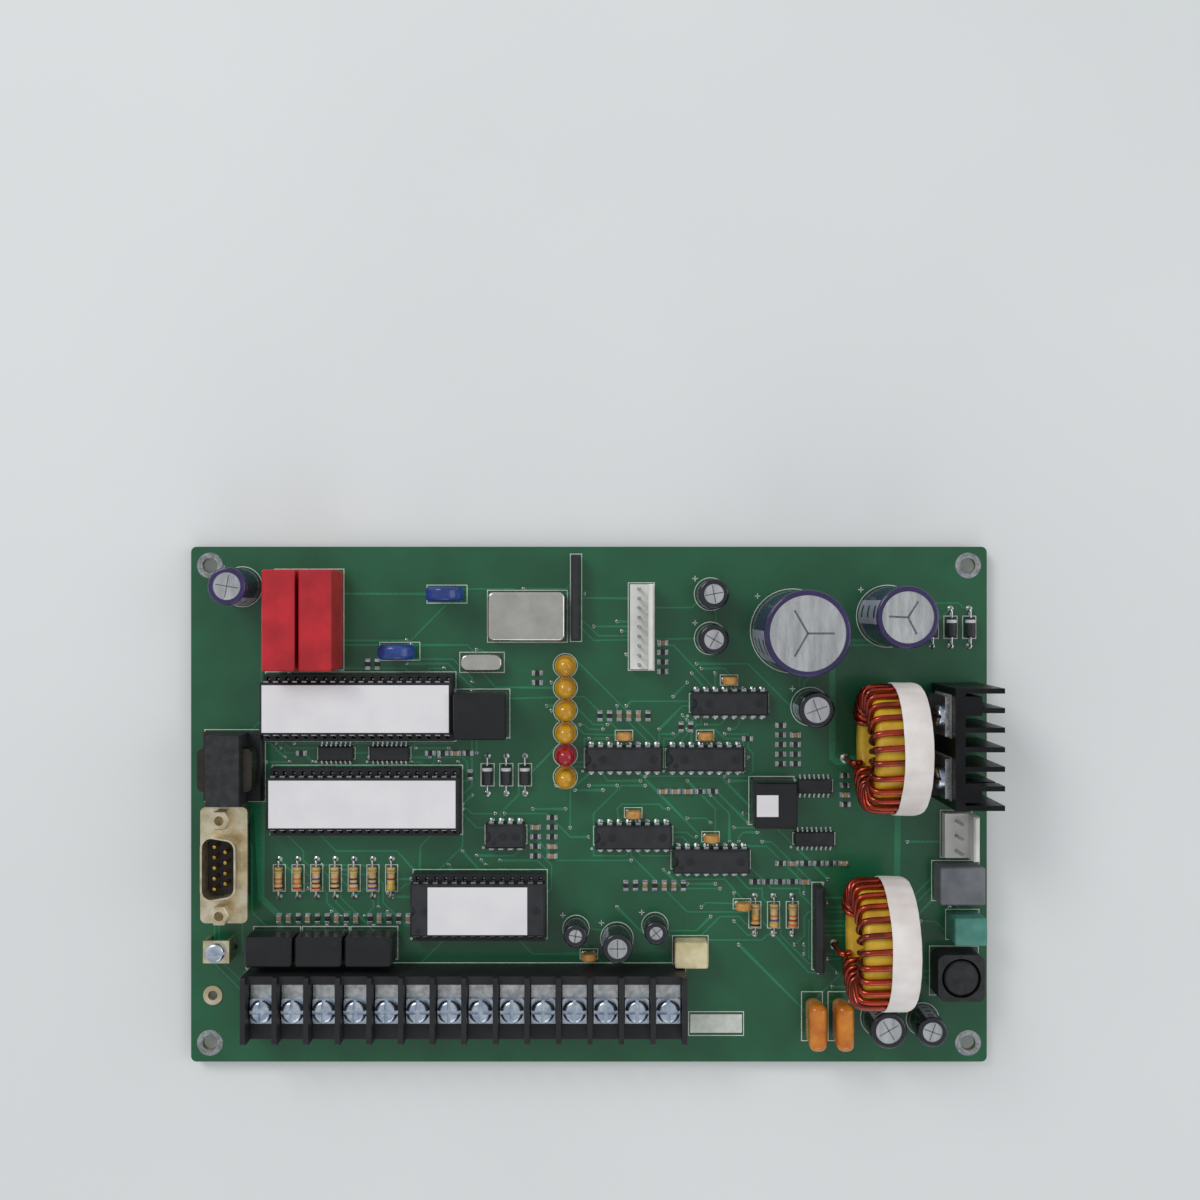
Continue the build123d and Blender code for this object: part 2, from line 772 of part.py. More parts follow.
def heat_sink():
    spine_x = sink_x + sink_spine / 2
    fin_length = sink_depth - sink_spine
    sink = block(sink_spine, sink_length, sink_height, spine_x, sink_y, top)
    for fy in row(sink_fins, (sink_length - sink_fin_thickness) / (sink_fins - 1), sink_y):
        fin_x = sink_x + sink_spine + fin_length / 2
        sink += block(fin_length, sink_fin_thickness, sink_height, fin_x, fy, top)
    pin_x = sink_x + sink_spine + sink_pin_radius
    pin_places = [(pin_x, py) for py in row(2, sink_pin_spread, sink_y)]
    pins = round_leads(pin_places, sink_pin_radius, sink_pin_rise, heavy_lead_tail)
    for px, py in pin_places:
        sink += block(
            2 * sink_pin_radius + sink_spine, 2 * sink_pin_radius + sink_spine, sink_height,
            px + sink_pin_radius / 2, py, top,
        )
        sink -= disc(sink_pin_radius + fit_gap, sink_pin_rise + fit_gap, px, py, top)

    tab_x = sink_x - pad_thickness - device_tab_thickness / 2
    body_x = sink_x - pad_thickness - device_tab_thickness - device_body_thickness / 2
    tab_z = top + device_stand
    screw_z = tab_z + device_tab_height - device_hole_inset
    hole_radius = device_screw_radius + hole_clearance
    bodies, tabs, pads, screws, lead_places = [], [], [], [], []
    for dy in row(device_count, device_spread, sink_y):
        hole = Pos(sink_x, dy, screw_z) * Rot(Y=90) * Cylinder(hole_radius, 2 * sink_depth)
        body = block(device_body_thickness, device_width, device_body_height, body_x, dy, tab_z)
        bodies.append(chamfer(body.faces().sort_by(Axis.X)[0].edges(), device_edge))
        tab = block(device_tab_thickness, device_width, device_tab_height, tab_x, dy, tab_z)
        tabs.append(tab - hole)
        pad_x = sink_x - pad_thickness / 2
        pad = block(
            pad_thickness, device_width + 2 * pad_overlap, device_tab_height + 2 * pad_overlap,
            pad_x, dy, tab_z - pad_overlap,
        )
        pads.append(pad - hole)
        sink -= hole
        head_x = tab_x - device_tab_thickness / 2
        shank_length = device_tab_thickness + pad_thickness + sink_spine
        head = Cylinder(device_head_radius, device_head_height)
        head = fillet(head.faces().sort_by(Axis.Z)[0].edges(), device_head_height / 2)
        head -= Pos(Z=-device_head_height / 2) * Box(2 * device_head_radius, screw_slot_width, device_head_height)
        screw = Pos(Z=-device_head_height / 2) * head
        screw += Pos(Z=shank_length / 2) * Cylinder(device_screw_radius, shank_length)
        screws.append(Pos(head_x, dy, screw_z) * Rot(Y=90) * screw)
        lead_places += [(body_x + device_body_thickness / 4, ly) for ly in row(3, pitch, dy)]
    parts["heat_sink"] = sink
    parts["power_device_bodies"] = group(bodies)
    parts["power_device_tabs"] = group(tabs)
    parts["insulating_pads"] = group(pads)
    parts["power_device_screws"] = group(screws)
    return pins + flat_leads(lead_places, device_lead_thickness, device_lead_width, device_stand)


def film_capacitors():
    bodies = []
    lead_places = []
    for x in row(film_count, film_pitch, film_x):
        bodies.append(moulded(film_width, film_length, film_height, film_edge, x, film_y, top))
        lead_places += [(x, ly) for ly in row(2, film_lead_spacing, film_y)]
    parts["film_capacitors"] = group(bodies)
    return round_leads(lead_places, film_lead_radius)


def electrolytic(x, y, radius, height):
    """Can inside a sleeve whose lip laps the rim of the can's top."""
    can = disc(radius - sleeve_thickness, height - sleeve_thickness, x, y, top)
    can = fillet(top_face_edges(can), can_edge)
    sleeve = disc(radius, height, x, y, top)
    sleeve = fillet(top_face_edges(sleeve), can_edge + sleeve_thickness)
    sleeve -= disc(radius - sleeve_lip - can_edge, height, x, y, top)
    return can, sleeve - can


def electrolytics(size, places, tail):
    cans, sleeves, leads = [], [], []
    for x, y, radius, height in places:
        can, sleeve = electrolytic(x, y, radius, height)
        cans.append(can)
        sleeves.append(sleeve)
        points = [(lx, y) for lx in row(2, radius * 2 * capacitor_lead_share, x)]
        leads += round_leads(points, capacitor_lead_radius, tail=tail)
    parts[f"{size}_capacitor_cans"] = group(cans)
    parts[f"{size}_capacitor_sleeves"] = group(sleeves)
    return leads


def corner_places(x, y, length, width, inset):
    return [(px, py) for px in row(2, length - 2 * inset, x) for py in row(2, width - 2 * inset, y)]


def moulded_parts():
    """Potted and moulded blocks that stand just clear of the board on four pins each."""
    blocks = {
        "potted_blocks": (
            (auxiliary_x, auxiliary_y, auxiliary_length, auxiliary_width, auxiliary_height),
            (isolator_x, isolator_y, isolator_length, isolator_width, isolator_height),
        ),
        "line_filter": ((board_right - filter_edge_inset, filter_y, filter_length, filter_width, filter_height),),
        "film_block": ((board_right - teal_edge_inset, teal_y, teal_length, teal_width, teal_height),),
        "ceramic_resonator": (
            (resonator_x, resonator_y, resonator_length, resonator_width, resonator_height),
        ),
    }
    pins = []
    for name, places in blocks.items():
        bodies = []
        for x, y, length, width, height in places:
            body_height = height - moulded_standoff
            bodies.append(moulded(length, width, body_height, moulded_edge, x, y, top + moulded_standoff))
            points = corner_places(x, y, length, width, moulded_pin_inset)
            pins += round_leads(points, fine_lead_radius, moulded_standoff)
        parts[name] = group(bodies)
    return pins


def line_transformer():
    """Ferrite core that passes through a coil, on a base with pins."""
    x, y = board_left + transformer_edge_inset, transformer_y
    core_z = top + transformer_base_height
    core_height = transformer_height - transformer_base_height
    window_length = transformer_width - 2 * core_leg
    window_height = core_height - 2 * core_yoke
    core = block(core_breadth, transformer_width, core_height, x, y, core_z)
    core -= block(core_breadth, window_length, window_height, x, y, core_z + core_yoke)
    core += block(core_breadth, core_leg, window_height, x, y, core_z + core_yoke)
    parts["transformer_core"] = core
    base_height = transformer_base_height - fit_gap
    base = block(transformer_length, transformer_width, base_height, x, y, top)
    parts["transformer_base"] = chamfer(top_face_edges(base), transformer_edge)
    coil_length = transformer_length - 2 * coil_margin
    coil_height = window_height - 2 * fit_gap
    coil_z = core_z + core_yoke + fit_gap
    coil = block(coil_length, window_length - 2 * fit_gap, coil_height, x, y, coil_z)
    coil = fillet(coil.edges().filter_by(Axis.Z), coil_corner)
    parts["transformer_coil"] = coil - block(
        core_breadth + 2 * fit_gap, core_leg + 2 * fit_gap, coil_height, x, y, coil_z
    )
    points = [
        (px, py)
        for px in row(2, transformer_length - 2 * transformer_pin_inset, x)
        for py in row(transformer_pins_per_side, transformer_pin_pitch, y)
    ]
    return round_leads(points, fine_lead_radius, tail=heavy_lead_tail)


def power_inductor():
    """Wound drum, closed by its top flange, inside a square screen of ferrite."""
    x, y = board_right - inductor_edge_inset, inductor_y
    screen = block(inductor_size, inductor_size, inductor_height, x, y, top)
    screen = fillet(screen.edges().filter_by(Axis.Z), inductor_corner)
    well_z = top + inductor_floor
    screen -= disc(inductor_well_radius, inductor_height, x, y, well_z)
    parts["inductor_screen"] = screen
    drum = disc(inductor_drum_radius, inductor_height - inductor_floor, x, y, well_z)
    parts["inductor_drum"] = chamfer(top_face_edges(drum), inductor_drum_edge)
    points = [(px, y) for px in row(2, inductor_lead_spacing, x)]
    return round_leads(points, film_lead_radius)


def header(x, y, ways, step, width):
    """Friction-lock header along Y: a base, a wall at its +X side and a row of square pins."""
    length = ways * step
    housing = block(width, length, header_base_height, x, y, top)
    wall_x = x + (width - header_wall_thickness) / 2
    housing += block(header_wall_thickness, length, header_wall_height, wall_x, y, top)
    housing = chamfer(top_face_edges(housing), header_edge)
    pin_x = x - header_wall_thickness / 2
    places = [(pin_x, py) for py in row(ways, step, y)]
    side = header_pin_width + 2 * fit_gap
    for px, py in places:
        housing -= block(side, side, header_base_height, px, py, top)
    return housing, flat_leads(places, header_pin_width, header_pin_width, header_pin_rise)


def headers():
    power, power_pins = header(
        board_right - power_header_edge_inset,
        power_header_y,
        power_header_ways,
        power_header_pitch,
        power_header_width,
    )
    panel, panel_pins = header(panel_header_x, panel_header_y, panel_header_ways, pitch, panel_header_width)
    pins = power_pins + panel_pins
    parts["pin_headers"] = group([power, panel])
    parts["header_pins"] = group(chamfer(top_face_edges(pin), header_pin_width / 4) for pin in pins)


def dipped_capacitors():
    """Resin-dipped capacitors, thin along X, standing on two leads."""
    bodies = []
    points = []
    for x, y in dipped_places:
        body = block(dipped_thickness, dipped_length, dipped_height, x, y, top + dipped_stand)
        body = fillet(body.edges().filter_by(Axis.Y), dipped_corner)
        bodies.append(body)
        points += [(x, py) for py in row(2, dipped_lead_spacing, y)]
    parts["dipped_capacitors"] = group(bodies)
    return round_leads(points, fine_lead_radius, dipped_stand)


def standing_disc(radius, thickness, x, y):
    """Disc with rounded rims that stands on edge, its axis along Y."""
    body = Pos(x, y, top + disc_stand + radius) * Rot(X=90) * Cylinder(radius, thickness)
    return fillet(body.edges().filter_by(GeomType.CIRCLE), thickness * disc_rim_share)


def disc_lead_rise(radius, spacing):
    """Height above the board at which a lead meets the rim of a standing disc."""
    return disc_stand + radius - sqrt(radius**2 - (spacing / 2 - fine_lead_radius) ** 2)


def standing_discs():
    leads = []
    decouplers = [(x, y + decoupler_offset) for x, y in logic_places]
    kinds = {
        "decoupling_capacitors": (
            decouplers + list(tan_disc_places), decoupler_radius, decoupler_thickness, decoupler_lead_spacing
        ),
        "varistors": (varistor_places, varistor_radius, varistor_thickness, varistor_lead_spacing),
    }
    for name, (places, radius, thickness, spacing) in kinds.items():
        parts[name] = group(standing_disc(radius, thickness, x, y) for x, y in places)
        points = [(px, y) for x, y in places for px in row(2, spacing, x)]
        leads += round_leads(points, fine_lead_radius, disc_lead_rise(radius, spacing) - fit_gap)
    return leads


def axial_leads(x, y, body_length, body_radius):
    """The two bent leads of a part that lies along Y between its holes."""
    axis_z = top + body_radius + fit_gap
    leads = []
    for side in (-1, 1):
        hole_y = y + side * axial_lead_spacing / 2
        plated_holes.append((x, hole_y, axial_lead_radius + hole_clearance))
        route = FilletPolyline(
            (x, y + side * body_length / 2, axis_z),
            (x, hole_y, axis_z),
            (x, hole_y, -lead_tail),
            radius=axial_bend_radius,
        )
        section = Plane(origin=route @ 0, z_dir=route % 0) * Circle(axial_lead_radius)
        leads.append(sweep(section, path=route))
    return leads


def axial_parts():
    resistors = []
    diodes = []
    leads = []
    for x0, y, count in resistor_rows:
        for i in range(count):
            x = x0 + i * axial_pitch
            centre = Pos(x, y, top + resistor_radius + fit_gap) * Rot(X=90)
            body = Cylinder(resistor_neck_radius, resistor_length)
            for end in (-1, 1):
                cap = Cylinder(resistor_radius, resistor_cap_length)
                cap = fillet(cap.edges().filter_by(GeomType.CIRCLE), resistor_edge)
                body += Pos(Z=end * (resistor_length - resistor_cap_length) / 2) * cap
            resistors.append(centre * body)
            leads += axial_leads(x, y, resistor_length, resistor_radius)
    for x0, y, count in diode_rows:
        for i in range(count):
            x = x0 + i * axial_pitch
            body = Cylinder(diode_radius, diode_length)
            body = chamfer(body.edges().filter_by(GeomType.CIRCLE), diode_edge)
            diodes.append(Pos(x, y, top + diode_radius + fit_gap) * Rot(X=90) * body)
            leads += axial_leads(x, y, diode_length, diode_radius)
    parts["resistors"] = group(resistors)
    parts["diodes"] = group(diodes)
    parts["axial_leads"] = group(leads)


def resistor_networks():
    bodies = []
    points = []
    for x, y in network_places:
        length = network_ways * pitch
        body = block(network_thickness, length, network_height, x, y, top + moulded_standoff)
        bodies.append(chamfer(top_face_edges(body), network_edge))
        points += [(x, py) for py in row(network_ways, pitch, y)]
    parts["resistor_networks"] = group(bodies)
    return flat_leads(points, flat_lead_thickness, flat_lead_width, moulded_standoff)


def metal_cans():
    """Clock module and crystal, each in a drawn metal can."""
    clock = block(clock_length, clock_width, clock_height, clock_x, clock_y, top + clock_standoff)
    clock = fillet(clock.edges().filter_by(Axis.Z), clock_corner)
    clock = fillet(top_face_edges(clock), clock_corner / 2)
    points = [
        (px, py) for px in row(2, clock_pin_pitch, clock_x) for py in row(2, clock_row_spacing, clock_y)
    ]
    leads = round_leads(points, fine_lead_radius, clock_standoff)
    crystal = block(crystal_length, crystal_width, crystal_height, crystal_x, crystal_y, top + fit_gap)
    crystal = fillet(crystal.edges().filter_by(Axis.Z), crystal_corner)
    crystal = fillet(top_face_edges(crystal), crystal_rim)
    parts["metal_cans"] = group([clock, crystal])
    points = [(px, crystal_y) for px in row(2, crystal_lead_spacing, crystal_x)]
    return leads + round_leads(points, fine_lead_radius)


def earth_fittings():
    """Bent earth bracket with its screw, and an eyelet through the board."""
    earth_x = board_left + earth_edge_inset
    eyelet_x = board_left + eyelet_edge_inset
    bracket = block(earth_length, earth_width, earth_height, earth_x, earth_y, top)
    bracket -= block(
        earth_length - 2 * earth_sheet, earth_width, earth_height - earth_sheet, earth_x, earth_y, top
    )
    bore_radius = earth_screw_radius + hole_clearance
    face_z = top + earth_height
    bracket -= disc(bore_radius, earth_sheet, earth_x, earth_y, face_z - earth_sheet)
    foot_x = (earth_length - earth_sheet) / 2
    feet = flat_leads([(earth_x - foot_x, earth_y), (earth_x + foot_x, earth_y)], earth_sheet, earth_foot_width)
    for foot in feet:
        bracket += foot
    head = fillet(top_face_edges(disc(earth_head_radius, earth_head_height)), earth_head_height / 2)
    head -= block(2 * earth_head_radius, screw_slot_width, earth_head_height / 2, z=earth_head_height / 2)
    shank_length = earth_height - earth_sheet
    parts["earth_screw"] = Pos(earth_x, earth_y, face_z) * (
        head + disc(earth_screw_radius, shank_length, z=-shank_length)
    )
    barrel_radius = eyelet_bore_radius + eyelet_wall
    plated_holes.append((eyelet_x, eyelet_y, barrel_radius + fit_gap))
    eyelet = disc(barrel_radius, top + 2 * eyelet_flange_thickness, eyelet_x, eyelet_y, -eyelet_flange_thickness)
    eyelet += disc(eyelet_flange_radius, eyelet_flange_thickness, eyelet_x, eyelet_y, top)
    eyelet += disc(eyelet_flange_radius, eyelet_flange_thickness, eyelet_x, eyelet_y, -eyelet_flange_thickness)
    eyelet -= disc(
        eyelet_bore_radius, top + 2 * eyelet_flange_thickness, eyelet_x, eyelet_y, -eyelet_flange_thickness
    )
    parts["earth_fittings"] = group([bracket, eyelet])


def circuit_board():
    """Board with its mounting holes and a plated hole for every lead."""
    board = block(board_length, board_width, board_thickness)
    board = fillet(board.edges().filter_by(Axis.Z), board_corner_radius)
    mounting_places = corner_places(0, 0, board_length, board_width, mounting_hole_inset)
    holes = [disc(mounting_hole_radius, board_thickness, x, y) for x, y in mounting_places]
    holes += [disc(radius, board_thickness, x, y) for x, y, radius in plated_holes]
    parts["circuit_board"] = board - holes


serial_connector()
terminal_strip()
socketed_chips()
logic_chips()
surface_chips()
chokes()
headers()
axial_parts()
earth_fittings()
support_pins = heat_sink() + line_transformer()
support_pins += electrolytics("large", large_capacitors, heavy_lead_tail)
fine_pins = electrolytics("small", small_capacitors, lead_tail)
for make_parts in (
    signal_relays, lamps, film_capacitors, moulded_parts, power_inductor,
    dipped_capacitors, standing_discs, resistor_networks, metal_cans,
):
    fine_pins += make_parts()
parts["support_pins"] = group(support_pins)
parts["fine_pins"] = group(fine_pins)
circuit_board()

os.makedirs("parts", exist_ok=True)
for name, part in parts.items():
    export_step(part, f"parts/{name}.step")
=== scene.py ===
import heapq
import math
import random
import bmesh
import bpy
from mathutils import Matrix, Vector


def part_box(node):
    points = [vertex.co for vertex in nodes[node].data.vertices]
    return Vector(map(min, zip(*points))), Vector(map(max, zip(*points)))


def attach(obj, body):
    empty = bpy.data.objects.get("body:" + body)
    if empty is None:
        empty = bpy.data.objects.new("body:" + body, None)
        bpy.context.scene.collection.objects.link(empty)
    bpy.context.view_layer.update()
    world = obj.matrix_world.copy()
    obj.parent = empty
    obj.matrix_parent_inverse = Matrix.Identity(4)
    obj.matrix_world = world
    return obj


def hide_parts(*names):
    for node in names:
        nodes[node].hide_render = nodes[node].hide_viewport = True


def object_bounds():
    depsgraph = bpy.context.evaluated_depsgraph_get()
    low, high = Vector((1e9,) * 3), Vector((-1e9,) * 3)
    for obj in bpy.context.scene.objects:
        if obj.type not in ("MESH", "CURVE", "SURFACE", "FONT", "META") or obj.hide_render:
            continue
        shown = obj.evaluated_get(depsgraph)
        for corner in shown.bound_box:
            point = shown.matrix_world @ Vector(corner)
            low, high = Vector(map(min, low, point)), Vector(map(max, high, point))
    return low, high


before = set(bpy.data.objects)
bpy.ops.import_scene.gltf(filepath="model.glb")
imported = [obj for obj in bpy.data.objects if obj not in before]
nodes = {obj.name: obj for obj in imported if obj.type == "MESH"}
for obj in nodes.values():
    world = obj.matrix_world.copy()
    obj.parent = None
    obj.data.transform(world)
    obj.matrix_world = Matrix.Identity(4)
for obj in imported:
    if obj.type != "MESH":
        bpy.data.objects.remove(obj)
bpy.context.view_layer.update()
mm = 0.001
boardLow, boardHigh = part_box("circuit_board")
boardTop = boardHigh.z
print("frame loaded:", len(nodes), "nodes")


def addObject(name, data):
    made = bpy.data.objects.new(name, data)
    bpy.context.scene.collection.objects.link(made)
    return made


def hexColour(text):
    channels = [int(text[i:i + 2], 16) / 255 for i in (1, 3, 5)]
    linear = [c / 12.92 if c <= 0.04045 else ((c + 0.055) / 1.055) ** 2.4 for c in channels]
    return (*linear, 1.0)


def setInputs(tree, node, inputs):
    for name, value in inputs.items():
        if isinstance(value, bpy.types.NodeSocket):
            tree.links.new(value, node.inputs[name])
        else:
            node.inputs[name].default_value = value


def addNode(tree, kind, inputs=None, **settings):
    node = tree.nodes.new(kind)
    for name, value in settings.items():
        setattr(node, name, value)
    setInputs(tree, node, inputs or {})
    return node


def twoTone(tree, factor, dark, light, low=0.35, high=0.65):
    ramp = addNode(tree, "ShaderNodeValToRGB", {"Fac": factor})
    for element, position, colour in zip(ramp.color_ramp.elements, (low, high), (dark, light)):
        element.position = position
        element.color = hexColour(colour)
    return ramp.outputs["Color"]


# a material with its own shader settings, mottled between two close colours
def mottledMaterial(name, shader, dark, light, mottleMm, detail=4.0, span=(0.35, 0.65), stretch=(1, 1, 1)):
    material = bpy.data.materials.new(name)
    material.use_nodes = True
    tree = material.node_tree
    tree.nodes.clear()
    principled = addNode(tree, "ShaderNodeBsdfPrincipled", shader)
    addNode(tree, "ShaderNodeOutputMaterial", {"Surface": principled.outputs["BSDF"]})
    place = addNode(tree, "ShaderNodeTexCoord").outputs["Object"]
    place = addNode(tree, "ShaderNodeMapping", {"Vector": place, "Scale": stretch}).outputs["Vector"]
    mottle = addNode(tree, "ShaderNodeTexNoise", {
        "Vector": place, "Scale": 1000 / mottleMm, "Detail": detail,
    })
    colour = twoTone(tree, mottle.outputs["Fac"], dark, light, *span)
    setInputs(tree, principled, {"Base Color": colour})
    return material, tree, principled, place, colour


# the ordinary finish: mottled, with a fine grain in gloss and relief
def grainedMaterial(name, dark, light, rough, mottleMm=4.0, grainMm=0.25, bumpMm=0.01, metallic=0.0, coat=0.0,
                    stretch=(1, 1, 1)):
    material, tree, principled, place, _ = mottledMaterial(
        name, {"Metallic": metallic, "Coat Weight": coat}, dark, light, mottleMm, stretch=stretch)
    grain = addNode(tree, "ShaderNodeTexNoise", {
        "Vector": place, "Scale": 1000 / grainMm, "Detail": 3.0,
    }).outputs["Fac"]
    gloss = addNode(tree, "ShaderNodeMapRange", {
        "Value": grain, "From Min": 0.3, "From Max": 0.7, "To Min": rough[0], "To Max": rough[1],
    })
    bump = addNode(tree, "ShaderNodeBump", {"Height": grain, "Distance": bumpMm * mm, "Strength": 0.6})
    setInputs(tree, principled, {"Roughness": gloss.outputs["Result"], "Normal": bump.outputs["Normal"]})
    return material


# two crossed sets of threads, joined by a maths operation
def wovenCloth(tree, place, spacingMm, distortion, operation):
    threads = [
        addNode(tree, "ShaderNodeTexWave", {
            "Vector": place, "Scale": 1000 / spacingMm, "Distortion": distortion,
        }, bands_direction=way).outputs["Fac"]
        for way in ("X", "Y")
    ]
    return addNode(tree, "ShaderNodeMath", dict(enumerate(threads)), operation=operation).outputs["Value"]


# epoxy solder mask over glass laminate: glossy green faces, and dull tan-green sawn edges
def solderMaskMaterial():
    material, tree, principled, place, face = mottledMaterial(
        "solderMaskOverLaminate", {"Coat Weight": 0.3, "Coat Roughness": 0.12}, "#0E5433", "#145F3C", 14, 5.0)
    cloth = wovenCloth(tree, place, 9, 0.6, "MULTIPLY")      # real cloth is finer, and wouldn't show
    edge = twoTone(tree, cloth, "#6F7A45", "#A39A62", 0.1, 0.9)
    normal = addNode(tree, "ShaderNodeSeparateXYZ", {
        "Vector": addNode(tree, "ShaderNodeNewGeometry").outputs["Normal"],
    })
    upright = addNode(tree, "ShaderNodeMath", {0: normal.outputs["Z"]}, operation="ABSOLUTE").outputs["Value"]
    isFace = addNode(tree, "ShaderNodeMath", {0: upright, 1: 0.7}, operation="GREATER_THAN").outputs["Value"]
    colour = addNode(tree, "ShaderNodeMix", {"Factor": isFace, 6: edge, 7: face}, data_type="RGBA")
    gloss = addNode(tree, "ShaderNodeMapRange", {"Value": isFace, "To Min": 0.75, "To Max": 0.32})
    bump = addNode(tree, "ShaderNodeBump", {"Height": cloth, "Distance": 0.02 * mm, "Strength": 0.25})
    setInputs(tree, principled, {
        "Base Color": colour.outputs[2],
        "Roughness": gloss.outputs["Result"], "Normal": bump.outputs["Normal"],
    })
    return material


# polyurethane enamel over copper wire: a clear amber-red film over metal
def enamelledCopperMaterial():
    material, tree, principled, place, _ = mottledMaterial("enamelledCopper", {
        "Metallic": 0.85, "Coat Weight": 0.9, "Coat Roughness": 0.06, "Coat Tint": hexColour("#F0A040"),
    }, "#7E2412", "#C4521C", 6)
    scuffs = addNode(tree, "ShaderNodeTexNoise", {"Vector": place, "Scale": 1000 / 0.8, "Detail": 5.0})
    gloss = addNode(tree, "ShaderNodeMapRange", {
        "Value": scuffs.outputs["Fac"], "To Min": 0.18, "To Max": 0.42,
    })
    setInputs(tree, principled, {"Roughness": gloss.outputs["Result"]})
    return material


# glass-cloth electrical tape: off-white, with crossed threads drawn coarser than real ones so that they show
def clothTapeMaterial():
    material, tree, principled, place, _ = mottledMaterial(
        "glassClothTape", {"Roughness": 0.72, "Sheen Weight": 0.15}, "#E2D8D2", "#F4EFEC", 9, 5.0)
    cloth = wovenCloth(tree, place, 5.5, 1.2, "ADD")
    bump = addNode(tree, "ShaderNodeBump", {"Height": cloth, "Distance": 0.05 * mm, "Strength": 0.4})
    setInputs(tree, principled, {"Normal": bump.outputs["Normal"]})
    return material


# cast epoxy lamp body, tinted through: light passes and the rim glows
def tintedLensMaterial(name, colour, deep):
    return mottledMaterial(name, {
        "Roughness": 0.12, "IOR": 1.53, "Transmission Weight": 0.35,
        "Coat Weight": 0.4, "Coat Roughness": 0.05,
        "Subsurface Weight": 0.25, "Subsurface Radius": (0.002, 0.001, 0.0006), "Subsurface Scale": 1.0,
    }, deep, colour, 3, 2.0, (0.2, 0.6))[0]


def cover(names, material):
    for name in names.split():
        nodes[name].data.materials.clear()
        nodes[name].data.materials.append(material)
    return material


def dress(names, *look, **more):
    return cover(names, grainedMaterial(*look, **more))


# phenolic and polyester mouldings: near-black, dull, with fine mould grain
dress("serial_insulator terminal_body chip_sockets transformer_base power_device_bodies",
      "blackPhenolic", "#141416", "#1F2023", (0.42, 0.6), 6, 0.3, 0.012)
# epoxy chip packages: charcoal, a little lighter than the mouldings, with a fine spark-eroded grain
dress("socketed_chips logic_chips surface_chips diodes resistor_networks",
      "chipEpoxy", "#202124", "#2B2C30", (0.45, 0.62), 3, 0.22)
# polished black covers: sharper highlights than the mouldings, hardly any grain
dress("signal_relays potted_blocks", "blackCover", "#101012", "#191A1D", (0.27, 0.32), 8, 2, 0.001)
# black anodised extrusion: satin, with lines drawn along the fins
dress("heat_sink",
      "blackAnodised", "#0E0E10", "#1B1B1F", (0.32, 0.5), 5, 0.35, 0.012, 0.6, stretch=(1, 1, 0.1))
# tinned copper and steel leads: bright, faintly streaked grey
tinned = dress("terminal_contacts socketed_chip_leads socket_contacts logic_leads surface_leads "
               "header_pins axial_leads support_pins fine_pins power_device_tabs",
               "tinnedLead", "#A9ACAE", "#D4D6D6", (0.2, 0.4), 1.6, 0.3, 0.008, 1.0)
# zinc plated steel screws: blue-white passivation
dress("terminal_washers terminal_screws power_device_screws earth_screw",
      "zincPlatedSteel", "#A9B8CC", "#D9E2EC", (0.2, 0.38), 1.8, 0.25, 0.01, 1.0)
# yellow-passivated tin plate of the connector shell: warm pale metal
dress("serial_shell serial_brackets serial_jackscrews earth_fittings",
      "warmTinPlate", "#CDBB96", "#EDE2C8", (0.24, 0.42), 3.0, 0.3, 0.01, 0.9)
# thin gold flash over nickel: clean yellow glints deep in the connector
dress("serial_contacts", "goldFlash", "#B8913C", "#DDB860", (0.2, 0.34), 1.5, 0.3, 0.005, 1.0)
# drawn aluminium cans: brushed across the top
dress("large_capacitor_cans small_capacitor_cans",
      "drawnAluminium", "#B9BBBD", "#D9DADB", (0.25, 0.45), 2.0, 0.25, 0.01, 1.0, stretch=(1, 0.15, 1))
# nickel-plated cans of the clock parts: a soft even mirror
dress("metal_cans", "nickelPlatedCan", "#C2C0B8", "#D2D0C8", (0.2, 0.26), 5.0, 2.0, 0.001, 1.0)
# coated label paper: bright and flat, hardly any shine
dress("blank_labels", "coatedPaperLabel", "#E6E3E6", "#ECEAEC", (0.5, 0.66), 7, 0.3)
# iron powder cores in epoxy paint: thick yellow, slightly orange-peeled
dress("choke_cores", "epoxyCoatedIronPowder", "#C99A1E", "#E6BC34", (0.35, 0.5), 5, 0.4, 0.03)
# shrunk vinyl sleeves: glossy dark violet on the large cans, near-black blue on the small ones
dress("large_capacitor_sleeves",
      "violetShrinkSleeve", "#241B46", "#33265C", (0.18, 0.3), 9, 1.2, 0.02, coat=0.3)
darkSleeve = dress("small_capacitor_sleeves",
                   "darkShrinkSleeve", "#15161F", "#20222E", (0.18, 0.3), 9, 1.2, 0.02, coat=0.3)
# moulded cases: red and teal polyester with a soft shine, and a duller grey potted one
dress("film_capacitors", "redPolyesterCase", "#A81622", "#C8202C", (0.3, 0.45), 8, 0.4, 0.015)
dress("line_filter", "greyPottedCase", "#62656A", "#777A80", (0.4, 0.55), 6, 0.4, 0.015)
dress("film_block", "tealCase", "#3E7C70", "#549486", (0.34, 0.5), 5, 0.4, 0.015)
# unglazed ceramic block: cream and chalky
dress("ceramic_resonator", "creamCeramic", "#CFC190", "#E6DBB4", (0.5, 0.68), 3, 0.3, 0.02)
# nylon housings: white with a waxy shine
dress("pin_headers", "whiteNylon", "#DEDED8", "#EFEFEA", (0.35, 0.5), 6, 0.5, 0.012)
# dipped resins: wet-looking, uneven skins in amber, tan and blue
amberResin = dress("dipped_capacitors",
                   "amberDippedResin", "#BC640E", "#DE8A20", (0.16, 0.3), 5, 1.6, 0.05, coat=0.4)
dress("decoupling_capacitors", "tanDippedCeramic", "#B4803C", "#D09A52", (0.28, 0.42), 2, 0.8, 0.04)
dress("varistors", "blueDippedVaristor", "#16306E", "#234694", (0.22, 0.36), 5, 1.4, 0.05, coat=0.3)
